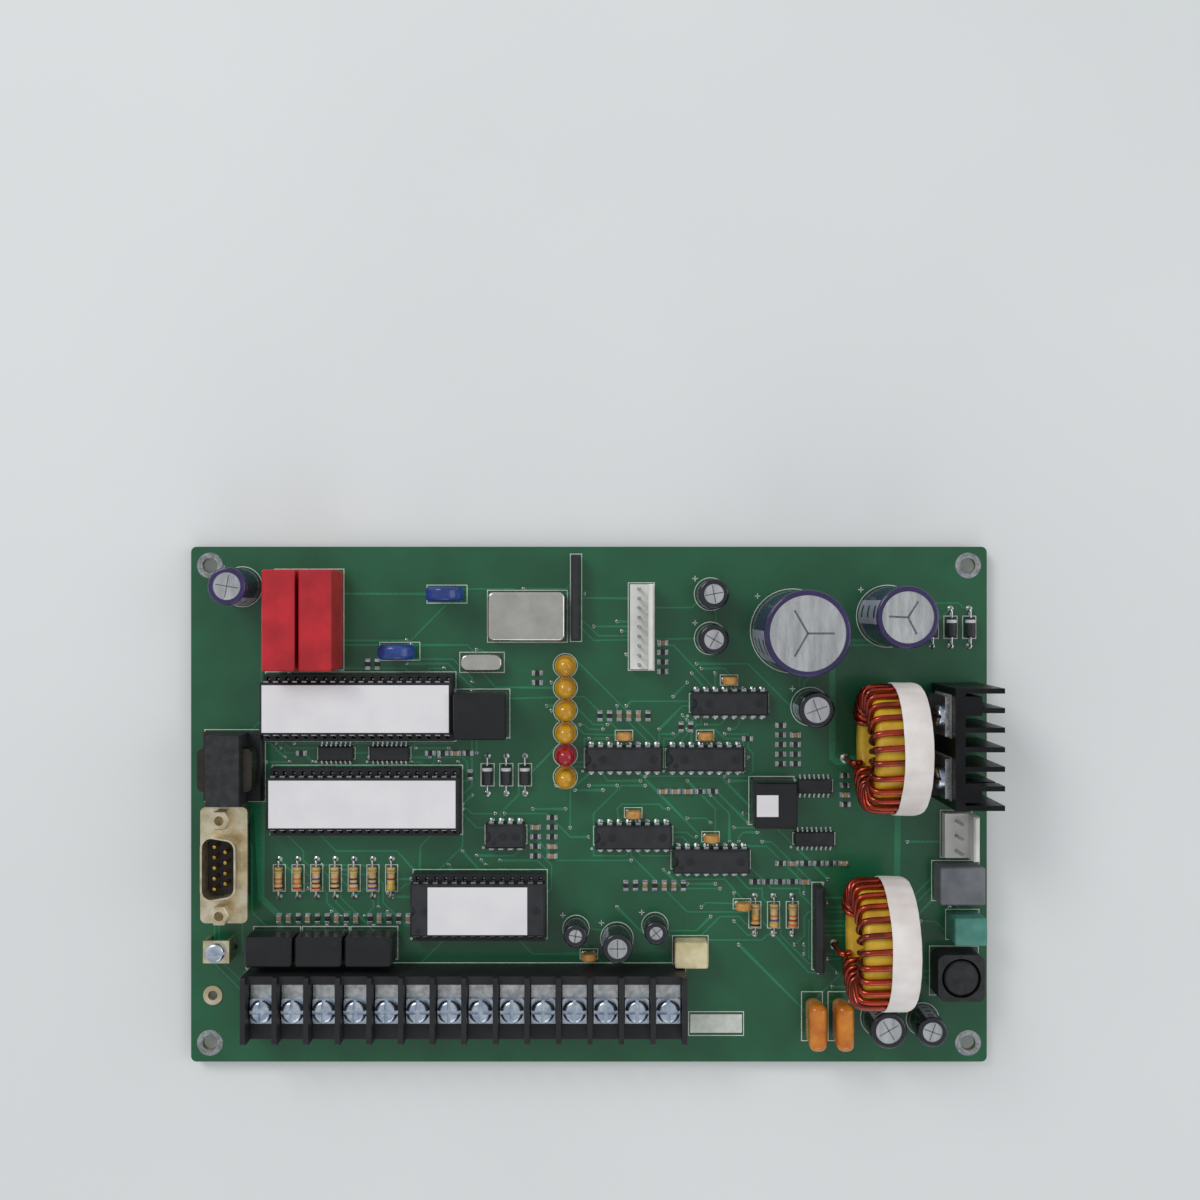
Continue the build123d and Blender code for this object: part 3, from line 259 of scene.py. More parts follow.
# resistor lacquer: smooth beige
dress("resistors", "beigeLacquer", "#B79A66", "#D2B884", (0.26, 0.4), 1.5, 0.5, 0.02)
# sintered ferrite: dull dark grey, lightly pitted
dress("transformer_core inductor_screen inductor_drum",
      "sinteredFerrite", "#1A1B1D", "#2D2F32", (0.5, 0.7), 2.5, 0.3, 0.03)
# polyester tape round the transformer's coil: dark brown gloss
dress("transformer_coil", "coilTape", "#1A1712", "#2C261C", (0.22, 0.35), 4, 0.8, 0.02)
# filled silicone pads: matt grey rubber
dress("insulating_pads", "siliconePad", "#8E918F", "#A6A8A6", (0.6, 0.75), 3, 0.3, 0.02)
copperWire = cover("upper_choke_winding lower_choke_winding choke_leads", enamelledCopperMaterial())
clothTape = cover("choke_tapes", clothTapeMaterial())
cover("amber_lamps", tintedLensMaterial("amberEpoxyLens", "#F6BC14", "#DC9406"))
cover("red_lamp", tintedLensMaterial("redEpoxyLens", "#D6142C", "#A00A1E"))
cover("circuit_board", solderMaskMaterial())
print("materials ready:", len(bpy.data.materials))


def extremes(points):
    return [Vector(pick(p[i] for p in points) for i in range(3)) for pick in (min, max)]


def atLevel(place, z):
    return Vector((place.x, place.y, z))


# the separate solids of a CAD node: corners, middle, half size, and the box of the part below the board
def solidsOf(name):
    mesh = bmesh.new()
    mesh.from_mesh(nodes[name].data)
    bmesh.ops.remove_doubles(mesh, verts=mesh.verts, dist=1e-6)
    unseen = set(mesh.verts)
    solids = []
    for seed in list(mesh.verts):
        if seed not in unseen:
            continue
        unseen.discard(seed)
        stack, group = [seed], []
        while stack:
            vertex = stack.pop()
            group.append(vertex.co.copy())
            for edge in vertex.link_edges:
                other = edge.other_vert(vertex)
                if other in unseen:
                    unseen.discard(other)
                    stack.append(other)
        low, high = extremes(group)
        tail = [p for p in group if p.z < -0.5 * mm]
        solids.append({"low": low, "high": high, "middle": (low + high) / 2, "half": (high - low) / 2,
                       "foot": extremes(tail) if tail else None})
    mesh.free()
    return solids


def addPiece(name, data, material, slot, replaced=(), smooth=30):
    piece = addObject(name, data)
    data.materials.append(material)
    if smooth and isinstance(data, bpy.types.Mesh):
        data.shade_smooth()
        data.set_sharp_from_angle(angle=math.radians(smooth))
    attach(piece, "root")
    if replaced:
        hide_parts(*replaced)
    return piece


def storeMesh(name, mesh):
    bmesh.ops.recalc_face_normals(mesh, faces=mesh.faces)
    data = bpy.data.meshes.new(name)
    mesh.to_mesh(data)
    mesh.free()
    return data


def meshPiece(name, mesh, material, slot, **more):
    return addPiece(name, storeMesh(name, mesh), material, slot, **more)


# moves a finished shape into a larger mesh
def addShape(mesh, shape):
    carry = storeMesh("carry", shape)
    mesh.from_mesh(carry)
    bpy.data.meshes.remove(carry)


def addBox(mesh, size, place=(0, 0, 0), finish=0):
    verts = bmesh.ops.create_cube(mesh, size=1.0)["verts"]
    bmesh.ops.scale(mesh, verts=verts, vec=size)
    bmesh.ops.translate(mesh, verts=verts, vec=place)
    for face in {f for v in verts for f in v.link_faces}:
        face.material_index = finish


def bevelAll(mesh, offset, segments):
    bmesh.ops.bevel(mesh, geom=mesh.edges[:], offset=offset, offset_type="OFFSET", affect="EDGES",
                    segments=segments, profile=0.5, material=-1)


# a chain of points swept about an axis, from a starting angle
def sweepChain(mesh, points, centre, axis, start, angle, steps, ring=False):
    chain = [mesh.verts.new(point) for point in points]
    edges = [mesh.edges.new(pair) for pair in zip(chain, chain[1:] + (chain[:1] if ring else []))]
    bmesh.ops.rotate(mesh, verts=chain, cent=centre, matrix=Matrix.Rotation(start, 3, Vector(axis)))
    bmesh.ops.spin(mesh, geom=chain + edges, cent=centre, axis=axis, angle=angle, steps=steps,
                   use_merge=angle == 2 * math.pi)


choke = {
    "turns": 22,              # turns of wire on each core
    "bore": 9.9 * mm,         # radius of the core's hole
    "wire": 0.8 * mm,         # radius of the wire
    "corner": 1.35 * mm,      # how far the wire's bend starts before a core edge
    "lift": 0.05 * mm,        # wire to core
    "openAngle": 27,          # degrees each side of the bottom left without turns
    "wander": 1.1,            # degrees that a turn strays from even spacing
    "leadBend": 1.3 * mm,     # how far over a lead's top the wire turns in to the core
    "tapeThickness": 0.28 * mm,
    "tapeSag": 0.1 * mm,      # how far the tape dips between turns
    "tapeCurl": 0.75 * mm,    # how far its outer edge turns down over the corner
    "curlFrom": 0.72,         # share of the tape's width that lies flat
    "tapeWrinkle": 0.05 * mm,
    "tapeWander": 0.12 * mm,  # how far its inner edge strays
    "tapeColumns": 12,
    "tapeSteps": 150,
}
leadSolids = solidsOf("choke_leads")


# a winding, drawn as one bevelled curve through its points
def wirePiece(label, path):
    curve = bpy.data.curves.new(label + "ChokeWinding", "CURVE")
    curve.dimensions = "3D"
    curve.bevel_depth = choke["wire"]
    curve.bevel_resolution = 2
    curve.resolution_u = 4
    curve.use_fill_caps = True
    spline = curve.splines.new("NURBS")
    spline.points.add(len(path) - 1)
    for point, place in zip(spline.points, path):
        point.co = (*place, 1.0)
    spline.order_u = 3
    spline.use_endpoint_u = True
    addPiece(curve.name, curve, copperWire, "enamelled_copper", (label + "_choke_winding",))


def windChoke(label, core):
    middle, bend = core["middle"], choke["corner"]
    off = choke["wire"] + choke["lift"]
    depth, outer = core["half"].x + off, core["half"].z + off
    inner = choke["bore"] - off
    # one turn round the core's section: radius, place along the axis; the way back mirrors the way out
    loop = [(inner, 0), (inner, depth - bend), (inner + bend, depth), ((inner + outer) / 2, depth),
            (outer - bend, depth), (outer, depth - bend)]
    loop += [(inner + outer - radius, -along) for radius, along in loop]
    wobble = random.Random(label)
    step = (360 - 2 * choke["openAngle"]) / choke["turns"]
    angles = [math.radians(choke["openAngle"] + step * i + wobble.uniform(-1, 1) * choke["wander"])
              for i in range(choke["turns"] + 1)]
    path = []
    for start, end in zip(angles, angles[1:]):
        for i, (radius, along) in enumerate(loop):
            angle = start + (end - start) * i / len(loop)
            path.append(middle + Vector((along, radius * math.sin(angle), -radius * math.cos(angle))))
    leads = [s for s in leadSolids
             if abs(s["middle"].y - middle.y) < 10 * mm and abs(s["middle"].x - middle.x) < 15 * mm]
    leads.sort(key=lambda s: (s["middle"].y <= middle.y, (s["middle"] - path[0]).length))
    for lead, atStart in zip(leads, (True, False)):
        top = atLevel(lead["middle"], lead["high"].z)
        inwards = -math.copysign(choke["leadBend"], lead["middle"].x - middle.x)
        ends = [top - Vector((0, 0, 0.6 * mm)), top + Vector((0, 0, 0.9 * mm)),
                top + Vector((inwards, 0, choke["leadBend"]))]
        path = ends + path if atStart else path + ends[::-1]
    wirePiece(label, path)
    return angles


# tape over the turns: a strip spun about the choke's axis, dipping between turns, curled over the far edge
def tapeChoke(label, core, tape, angles):
    middle = core["middle"]
    outer = tape["high"].z - middle.z
    half = math.acos((tape["low"].z - middle.z) / outer)
    width = 2 * tape["half"].x
    mesh = bmesh.new()
    strip = [(tape["low"].x + width * i / choke["tapeColumns"], middle.y, middle.z + outer)
             for i in range(choke["tapeColumns"] + 1)]
    sweepChain(mesh, strip, middle, (1, 0, 0), -half, 2 * half, choke["tapeSteps"])
    wobble = random.Random(label + "tape")
    phase = [wobble.uniform(0, 6) for i in range(2)]
    step = angles[1] - angles[0]
    for vertex in mesh.verts:
        spoke = Vector((0, vertex.co.y - middle.y, vertex.co.z - middle.z))
        angle = math.atan2(spoke.y, -spoke.z) % (2 * math.pi)
        nearest = min(abs(angle - a) for a in angles)
        dip = choke["tapeSag"] * (1 - math.cos(min(1, nearest / step * 2) * math.pi)) / 2
        across = (vertex.co.x - tape["low"].x) / width
        curl = choke["tapeCurl"] * max(0, (across - choke["curlFrom"]) / (1 - choke["curlFrom"])) ** 2
        wrinkle = choke["tapeWrinkle"] * (1 + math.sin(angle * 9 + across * 5 + phase[1]))
        vertex.co -= spoke.normalized() * (dip + curl + wrinkle)
        vertex.co.x += abs(choke["tapeWander"] * math.sin(angle * 3 + phase[0]) * (1 - across))
    bmesh.ops.recalc_face_normals(mesh, faces=mesh.faces)
    anyFace = mesh.faces[:][0]
    if anyFace.normal.dot(anyFace.calc_center_median() - middle) < 0:
        bmesh.ops.reverse_faces(mesh, faces=mesh.faces)
    bmesh.ops.solidify(mesh, geom=mesh.faces[:], thickness=choke["tapeThickness"])
    return mesh


tapes = bmesh.new()
for label, core in zip(("lower", "upper"), sorted(solidsOf("choke_cores"), key=lambda s: s["middle"].y)):
    tape = min(solidsOf("choke_tapes"), key=lambda s: abs(s["middle"].y - core["middle"].y))
    addShape(tapes, tapeChoke(label, core, tape, windChoke(label, core)))
meshPiece("chokeTapes", tapes, clothTape, "cloth_tape", replaced=("choke_tapes",), smooth=60)
print("chokes wound and taped")


# a profile of (radius, height) points spun round the vertical into a small closed mesh, to be set down often
def turnedShape(profile, sides, ring=False):
    mesh = bmesh.new()
    if not ring:      # both ends run in to the axis
        profile = [(0, profile[0][1])] + profile + [(0, profile[-1][1])]
    points = [(radius, 0, height) for radius, height in profile]
    sweepChain(mesh, points, (0, 0, 0), (0, 0, 1), 0, 2 * math.pi, sides, ring)
    bmesh.ops.remove_doubles(mesh, verts=mesh.verts, dist=1e-7)
    return storeMesh("turned", mesh)


def setDown(mesh, data, place, turn=None, finish=None):
    before, facesBefore = len(mesh.verts), len(mesh.faces)
    mesh.from_mesh(data)
    mesh.verts.ensure_lookup_table()
    for vertex in mesh.verts[before:]:
        vertex.co = (turn @ vertex.co if turn else vertex.co) + place
    if finish is not None:
        mesh.faces.ensure_lookup_table()
        for face in mesh.faces[facesBefore:]:
            face.material_index = finish


# the same small shape on the component side and, turned over, on the solder side
flip = Matrix.Rotation(math.pi, 3, "X")


def setBothSides(mesh, data, place):
    setDown(mesh, data, atLevel(place, boardTop))
    setDown(mesh, data, place, flip)


# plated joints: a pad ring and a small solder fillet on top, a full cone of solder below
joint = {
    "ring": 0.55 * mm,        # pad showing round the lead
    "topFillet": 0.28 * mm,   # height of the fillet on the component side
    "cone": 1.15 * mm,        # height of the joint on the solder side
    "leadEnd": 0.3 * mm,      # lead left showing below the joint
    "sides": 12,
}
leadedNodes = ("serial_contacts terminal_contacts socket_contacts logic_leads header_pins axial_leads "
               "support_pins fine_pins choke_leads serial_brackets")
pins = [{"node": name, "at": (low + high) / 2, "half": (high - low) / 2, "lowest": low.z}
        for name in leadedNodes.split() for low, high in [s["foot"] for s in solidsOf(name) if s["foot"]]]
pins.sort(key=lambda pin: (pin["node"], round(pin["at"].x, 5), round(pin["at"].y, 5)))

solderAbove, solderBelow = bmesh.new(), bmesh.new()
jointShapes = {}      # (lead radius, depth below the board): its two shapes
for pin in pins:
    halfX, halfY = pin["half"].xy
    lead = round(math.hypot(halfX, halfY) if abs(halfX - halfY) > 0.05 * mm else max(halfX, halfY), 5)
    pin["pad"] = pad = lead + joint["ring"]
    depth = round(min(joint["cone"], -pin["lowest"] - joint["leadEnd"]), 5)
    if (lead, depth) not in jointShapes:
        rise = joint["topFillet"]
        jointShapes[lead, depth] = (
            turnedShape([(pad, 0.01 * mm), (pad - 0.06 * mm, 0.06 * mm), (lead + 0.3 * mm, 0.09 * mm),
                         (lead + 0.08 * mm, rise), (lead * 0.5, rise * 1.15)], joint["sides"]),
            turnedShape([(pad, -0.01 * mm), (pad - 0.06 * mm, -0.08 * mm), (lead + 0.32 * mm, -0.3 * mm),
                         (lead + 0.12 * mm, -0.65 * depth), (lead * 0.6, -depth)], joint["sides"]),
        )
    above, below = jointShapes[lead, depth]
    setDown(solderAbove, above, atLevel(pin["at"], boardTop))
    setDown(solderBelow, below, atLevel(pin["at"], 0))
# solder: smooth grey metal, brighter where it is freshly wetted
solderTin = grainedMaterial("solderTin", "#8F9294", "#BFC1C2", (0.2, 0.38), 1.2, 0.35, 0.01, 1.0)
meshPiece("solderAbove", solderAbove, solderTin, "tinned_metal", smooth=50)
meshPiece("solderBelow", solderBelow, solderTin, "tinned_metal", smooth=50)


# tracks: nets between pins, found one after another on a 1.27 mm grid, mostly along X on top and Y below
routing = {
    "grid": 1.27 * mm,
    "signalWidth": 0.42 * mm,
    "powerWidth": 1.7 * mm,
    "copper": 0.04 * mm,      # 35 micron foil under the mask
    "signals": 320,           # nets tried between signal pins
    "reach": (9 * mm, 75 * mm),
    "padKeep": 0.35 * mm,
    "edgeKeep": 2,            # grid steps kept clear along the board's edge
    "holeKeep": 4.6 * mm,
    "viaCost": 5,
    "grainCost": 1.38,        # price of running against a side's main direction
    "turnCost": (0.35, 1.6),  # signal, power
    "patience": 5000,         # steps before a net is given up
}
dice = random.Random(40)
gridStep = routing["grid"]
gridColumns = int((boardHigh.x - boardLow.x) / gridStep)
gridRows = int((boardHigh.y - boardLow.y) / gridStep)
holeInset = 5.08 * mm
holePlaces = [Vector((x, y, 0)) for x in (boardLow.x + holeInset, boardHigh.x - holeInset)
              for y in (boardLow.y + holeInset, boardHigh.y - holeInset)]


def gridSpot(place):
    return round((place.x - boardLow.x) / gridStep), round((place.y - boardLow.y) / gridStep)


def gridPlace(spot):
    return Vector((boardLow.x + spot[0] * gridStep, boardLow.y + spot[1] * gridStep, 0))


def spotsAround(home, reach):
    steps = range(-reach, reach + 1)
    return [(home[0] + dx, home[1] + dy) for dx in steps for dy in steps]


owner = {}      # (column, row, side): net or pin number that holds the spot
for number, pin in enumerate(pins):
    pin["spot"], pin["number"] = gridSpot(pin["at"]), -1 - number
    for spot in spotsAround(pin["spot"], 2):
        if (gridPlace(spot) - pin["at"]).xy.length < pin["pad"] + routing["padKeep"] or spot == pin["spot"]:
            for side in (0, 1):
                owner.setdefault((*spot, side), pin["number"])
for hole in holePlaces:
    for spot in spotsAround(gridSpot(hole), 4):
        if (gridPlace(spot) - hole).xy.length < routing["holeKeep"]:
            owner[(*spot, 0)] = owner[(*spot, 1)] = 0


def isOpen(spot, allowed, wide):
    keep = routing["edgeKeep"]
    if not (keep < spot[0] < gridColumns - keep and keep < spot[1] < gridRows - keep):
        return False
    return all(owner.get((*near, spot[2])) in allowed for near in spotsAround(spot, int(wide)))


def stepBetween(before, after):
    return after[0] - before[0], after[1] - before[1]


def findPath(start, end, wide):
    allowed = {None, start["number"], end["number"]}
    goal = end["spot"]
    queue = [(0, 0, (*start["spot"], side)) for side in (0, 1)]
    cost = {spot: 0 for _, _, spot in queue}
    cameFrom, count = {}, 0
    while queue and count < routing["patience"]:
        _, _, spot = heapq.heappop(queue)
        count += 1
        if spot[:2] == goal:
            path = [spot]
            while path[-1] in cameFrom:
                path.append(cameFrom[path[-1]])
            return path[::-1]
        before = cameFrom.get(spot)
        heading = stepBetween(before, spot) if before else None
        side = spot[2]
        for after in [(*near, side) for near in spotsAround(spot, 1)] + [(*spot[:2], 1 - side)]:
            dx, dy = stepBetween(spot, after)
            leftX, leftY = stepBetween(after, goal)
            closing = max(abs(leftX), abs(leftY)) < 2
            if after == spot or not isOpen(after, allowed, wide and not closing):
                continue
            if dx and dy and not (isOpen((after[0], spot[1], side), allowed, False)
                                  and isOpen((spot[0], after[1], side), allowed, False)):
                continue
            price = math.hypot(dx, dy) or routing["viaCost"]
            if dx * dx != dy * dy and (dx if side else dy):
                price *= routing["grainCost"]
            if heading and (dx, dy) != heading:
                price += routing["turnCost"][wide]
            total = cost[spot] + price
            if total < cost.get(after, 1e9):
                cost[after], cameFrom[after] = total, spot
                heapq.heappush(queue, (total + math.hypot(leftX, leftY), count, after))
    return None


# a flat strip grown edge by edge along its points, mitred at the bends
def layStrip(mesh, points, width):
    def across(i):
        before = (points[i] - points[max(i - 1, 0)]).normalized()
        after = (points[min(i + 1, len(points) - 1)] - points[i]).normalized()
        along = (before + after).normalized()
        side = Vector((-along.y, along.x, 0))
        straight = Vector((-(after or before).y, (after or before).x, 0))
        return side * width / 2 / max(0.5, side.dot(straight))
    ends = [mesh.verts.new(points[0] + across(0)), mesh.verts.new(points[0] - across(0))]
    edge = mesh.edges.new(ends)
    for i in range(1, len(points)):
        made = bmesh.ops.extrude_edge_only(mesh, edges=[edge])["geom"]
        grown = [part for part in made if isinstance(part, bmesh.types.BMVert)]
        left, right = sorted(grown, key=lambda v: (v.co - ends[0].co).length)
        left.co, right.co = points[i] + across(i), points[i] - across(i)
        ends = [left, right]
        edge = mesh.edges.get(ends)


# turns flat strips into plates: lifts a copy of every face and closes the sides
def thicken(mesh, height, level=None):
    if level is not None:
        for vertex in mesh.verts:
            vertex.co.z = level
    made = bmesh.ops.extrude_face_region(mesh, geom=mesh.faces[:], use_keep_orig=True)["geom"]
    lifted = [part for part in made if isinstance(part, bmesh.types.BMVert)]
    bmesh.ops.translate(mesh, verts=lifted, vec=(0, 0, height))


# a run's corners, with its ends moved from the grid onto the pins they meet
def pathPoints(run, start, end):
    bends = [gridPlace(run[0])]
    for before, here, after in zip(run, run[1:], run[2:]):
        if stepBetween(before, here) != stepBetween(here, after):
            bends.append(gridPlace(here))
    bends.append(gridPlace(run[-1]))
    if run[0][:2] == start["spot"]:
        bends[0] = start["at"]
    if run[-1][:2] == end["spot"]:
        bends[-1] = end["at"]
    return [atLevel(bend, 0) for bend in bends]


def pinsOf(names):
    return [pin for pin in pins if pin["node"] in names.split()]


def nearestPin(pin, others):
    return min(others, key=lambda p: (p["at"] - pin["at"]).length)


heavyPins = pinsOf("terminal_contacts choke_leads serial_brackets")
powerPins = pinsOf("support_pins")
signalPins = pinsOf("socket_contacts logic_leads header_pins axial_leads fine_pins serial_contacts")
netList = [(pin, nearestPin(pin, powerPins), True) for pin in heavyPins]
netList += [(pin, nearestPin(pin, heavyPins), True) for pin in powerPins]
nearLimit, farLimit = routing["reach"]
for i in range(routing["signals"]):
    start = signalPins[dice.randrange(len(signalPins))]
    others = [p for p in signalPins if nearLimit < (p["at"] - start["at"]).length < farLimit]
    netList.append((start, nearestPin(start, dice.sample(others, 6)), False))
tracks = [bmesh.new(), bmesh.new()]      # component side, solder side
viaPlaces = []
laid = 0
for net, (start, end, wide) in enumerate(netList, 1):
    path = findPath(start, end, wide)
    if wide and not path:     # no room for a wide track
        wide, path = False, findPath(start, end, False)
    if not path or len(path) < 3:
        continue
    laid += 1
    for spot in path:
        for near in spotsAround(spot, int(wide)):
            owner.setdefault((*near, spot[2]), net)
    runs = [[path[0]]]
    for before, here in zip(path, path[1:]):
        if here[2] == before[2]:
            runs[-1].append(here)
            continue
        runs.append([here])
        if here[:2] not in (start["spot"], end["spot"]):
            viaPlaces.append(gridPlace(here))
    width = routing["powerWidth"] if wide else routing["signalWidth"]
    for run in runs:
        if len(run) > 1:
            layStrip(tracks[run[0][2]], pathPoints(run, start, end), width)
thicken(tracks[0], routing["copper"], boardTop)
thicken(tracks[1], routing["copper"], -routing["copper"])
# solder mask where copper lies under it: a lighter, warmer green than over bare laminate
maskedCopper = grainedMaterial("solderMaskOverCopper", "#17704A", "#238458", (0.24, 0.36), 14, 0.6, 0.006,
                               coat=0.3)
meshPiece("tracksAbove", tracks[0], maskedCopper, "board_laminate", smooth=0)
meshPiece("tracksBelow", tracks[1], maskedCopper, "board_laminate", smooth=0)

# through vias: a tinned ring each side and the drilled hole as a dark dot
via = {"outer": 0.5 * mm, "inner": 0.2 * mm, "height": 0.05 * mm, "dot": 0.02 * mm, "sides": 14}
viaRing = turnedShape([(via["outer"], 0), (via["outer"] - via["height"], via["height"]),
                       (via["inner"], via["height"]), (via["inner"], 0)], via["sides"], ring=True)
viaDot = turnedShape([(via["inner"], 0), (via["inner"], via["dot"])], via["sides"])
viaRings, viaDots = bmesh.new(), bmesh.new()
for place in viaPlaces:
    setBothSides(viaRings, viaRing, place)
    setBothSides(viaDots, viaDot, place)
meshPiece("viaRings", viaRings, solderTin, "tinned_metal", smooth=50)
# the shaded inside of a drilled hole: black, no shine
drilledHole = grainedMaterial("drilledHole", "#0B0D0B", "#15180F", (0.7, 0.85), 1, 0.2)
meshPiece("viaHoles", viaDots, drilledHole, "board_laminate", smooth=0)
print("routed:", laid, "of", len(netList), "nets,", len(viaPlaces), "vias")


# white ink: outlines round the parts and polarity marks
ink = {"stroke": 0.22 * mm, "level": 0.06 * mm, "height": 0.02 * mm, "gap": 0.55 * mm, "plus": 1.5 * mm}
inkMesh = bmesh.new()


def flatBar(mesh, x, y, length, width):
    verts = bmesh.ops.create_grid(mesh, x_segments=1, y_segments=1, size=0.5)["verts"]
    bmesh.ops.scale(mesh, verts=verts, vec=(length, width, 1))
    bmesh.ops.translate(mesh, verts=verts, vec=(x, y, 0))
    return verts


# leaves only a stroke along the edge of a filled shape
def keepStroke(verts):
    face = verts[0].link_faces[0]
    bmesh.ops.inset_individual(inkMesh, faces=[face], thickness=ink["stroke"], use_even_offset=True)
    bmesh.ops.delete(inkMesh, geom=[face], context="FACES_ONLY")


def inkRing(place, radius, sides=40):
    keepStroke(bmesh.ops.create_circle(inkMesh, cap_ends=True, segments=sides, radius=radius,
                                       matrix=Matrix.Translation(atLevel(place, 0)))["verts"])


gap = ink["gap"]
inkGaps = {      # node: how far its outline stands off the body along X and Y, in gaps
    "signal_relays": (0.4, 1), "logic_chips": (1, -1), "surface_chips": (1, -0.5), "film_block": (0.6, 1),
    "film_capacitors": (0.8, 1), "transformer_base": (0.6, 1), "decoupling_capacitors": (0.7, 0.7),
}
for name in ("chip_sockets potted_blocks line_filter ceramic_resonator inductor_screen metal_cans varistors "
             "pin_headers resistor_networks dipped_capacitors terminal_body resistors diodes").split():
    inkGaps[name] = (1, 1)
bodies = {name: solidsOf(name) for name in inkGaps}
for name, (gapsX, gapsY) in inkGaps.items():
    for body in bodies[name]:
        half = body["half"] + gap * Vector((gapsX, gapsY, 0))
        keepStroke(flatBar(inkMesh, *body["middle"].xy, *half.xy * 2))
        if name in ("logic_chips", "surface_chips", "chip_sockets", "signal_relays"):      # pin one
            inkRing(body["low"] + Vector((0.3 * mm - gap * 2.2, 0.3 * mm - gap * 1.2, 0)), 0.35 * mm, 12)
        if name in ("resistors", "diodes"):      # a stroke out to each lead
            for y in (body["high"].y + gap + 0.5 * mm, body["low"].y - gap - 0.5 * mm):
                flatBar(inkMesh, body["middle"].x, y, ink["stroke"], 0.9 * mm)
roundCans = {name: solidsOf(name) for name in ("large_capacitor_sleeves", "small_capacitor_sleeves",
                                               "amber_lamps", "red_lamp")}
for name, cans in roundCans.items():
    for can in cans:
        inkRing(can["middle"], can["half"].x + gap)
        if "capacitor" in name:      # a plus by the positive lead
            shift = can["half"].x * 0.75 + gap * 2.2
            x, y = can["middle"].x - shift, can["middle"].y + shift
            flatBar(inkMesh, x, y, ink["plus"], ink["stroke"])
            flatBar(inkMesh, x, y, ink["stroke"], ink["plus"])
# a bare panel for a stamped date, in its own frame
panel = {"x": 34.5 * mm, "y": -59.5 * mm, "length": 14 * mm, "width": 5 * mm, "frame": 6 * mm}
flatBar(inkMesh, panel["x"], panel["y"], panel["length"], panel["width"])
keepStroke(flatBar(inkMesh, panel["x"], panel["y"], panel["length"] + 2 * gap, panel["frame"] + 1.2 * gap))
thicken(inkMesh, ink["height"], boardTop + ink["level"])
# screened epoxy ink: off-white, thin and dull
epoxyInk = grainedMaterial("whiteEpoxyInk", "#C9CFC6", "#DFE3DB", (0.45, 0.6), 2, 0.3, 0.006)
meshPiece("printedOutlines", inkMesh, epoxyInk, "board_laminate", smooth=0)
print("outlines printed")


# bare tinned lands round the four mounting holes, on both sides
land = {"outer": 3.5 * mm, "inner": 2.0 * mm, "height": 0.05 * mm}
holeLand = turnedShape([(land["outer"], 0), (land["outer"] - land["height"], land["height"]),
                        (land["inner"] + land["height"], land["height"]), (land["inner"], 0)], 40, ring=True)
lands = bmesh.new()
for hole in holePlaces:
    setBothSides(lands, holeLand, hole)
meshPiece("mountingLands", lands, solderTin, "tinned_metal", smooth=40)

# moulding marks on the plastic packages: a pin-one dimple and round ejector marks
mark = {"dimple": 0.75 * mm, "ejector": 1.2 * mm, "height": 0.012 * mm, "inset": 2.2 * mm}
size, height = mark["dimple"], mark["height"]
dimple = turnedShape([(size, 0), (size * 0.94, height), (size * 0.1, height * 0.3)], 24)
size = mark["ejector"]
ejector = turnedShape([(size, 0), (size * 0.97, height)], 28)
marks = bmesh.new()
for body in bodies["logic_chips"] + solidsOf("socketed_chips"):
    low, high = body["low"], body["high"]
    setDown(marks, dimple, Vector((low.x + mark["inset"], low.y + 1.5 * mm, high.z)))
    for x in (low.x + mark["inset"] * 2.1, high.x - mark["inset"] * 1.1):
        setDown(marks, ejector, Vector((x, body["middle"].y, high.z)))
for body in bodies["surface_chips"]:
    setDown(marks, dimple, Vector((body["low"].x + 0.9 * mm, body["low"].y + 1.1 * mm, body["high"].z)),
            Matrix.Scale(0.55, 3))
for body in bodies["signal_relays"]:
    setDown(marks, ejector, body["high"] - Vector((1.9 * mm, 1.6 * mm, 0)), Matrix.Scale(0.6, 3))
# moulded epoxy pressed against a polished pin: the same charcoal, glossier than the body round it
smoothEpoxy = grainedMaterial("polishedMouldMark", "#17181A", "#1F2023", (0.22, 0.3), 2, 0.3, 0.002)
meshPiece("mouldMarks", marks, smoothEpoxy, "black_moulding", smooth=60)


# a painted band lying round a part's body, along Y
band = {"thickness": 0.12 * mm, "edge": 0.02 * mm}
layDown = Matrix.Rotation(math.pi / 2, 3, "X")


def bandShape(inner, halfWidth, sides):
    outer, flat = inner + band["thickness"], halfWidth - band["edge"]
    return turnedShape([(inner, -halfWidth), (outer, -flat), (outer, flat), (inner, halfWidth)], sides, True)


bandHex = {"brown": ("#52280F", "#63351C"), "black": ("#14100D", "#1C1714"), "red": ("#9C1818", "#B02222"),
           "orange": ("#C95D15", "#DB6D22"), "yellow": ("#CFA818", "#E0BB28"),
           "violet": ("#53347C", "#644292"), "gold": ("#9C7730", "#B78F46")}
bandNames = list(bandHex)
endBand, waistBand = bandShape(1.1 * mm, 0.3 * mm, 20), bandShape(0.9 * mm, 0.28 * mm, 20)
bands = bmesh.new()
for body in bodies["resistors"]:
    colours = [dice.choice(bandNames[:-1]) for i in range(3)] + ["gold"]
    for colour, shift in zip(colours, (-2.35, -1.1, 0.05, 2.35)):
        shape = endBand if abs(shift) > 2 else waistBand
        setDown(bands, shape, body["middle"] + Vector((0, shift * mm, 0)), layDown, bandNames.index(colour))
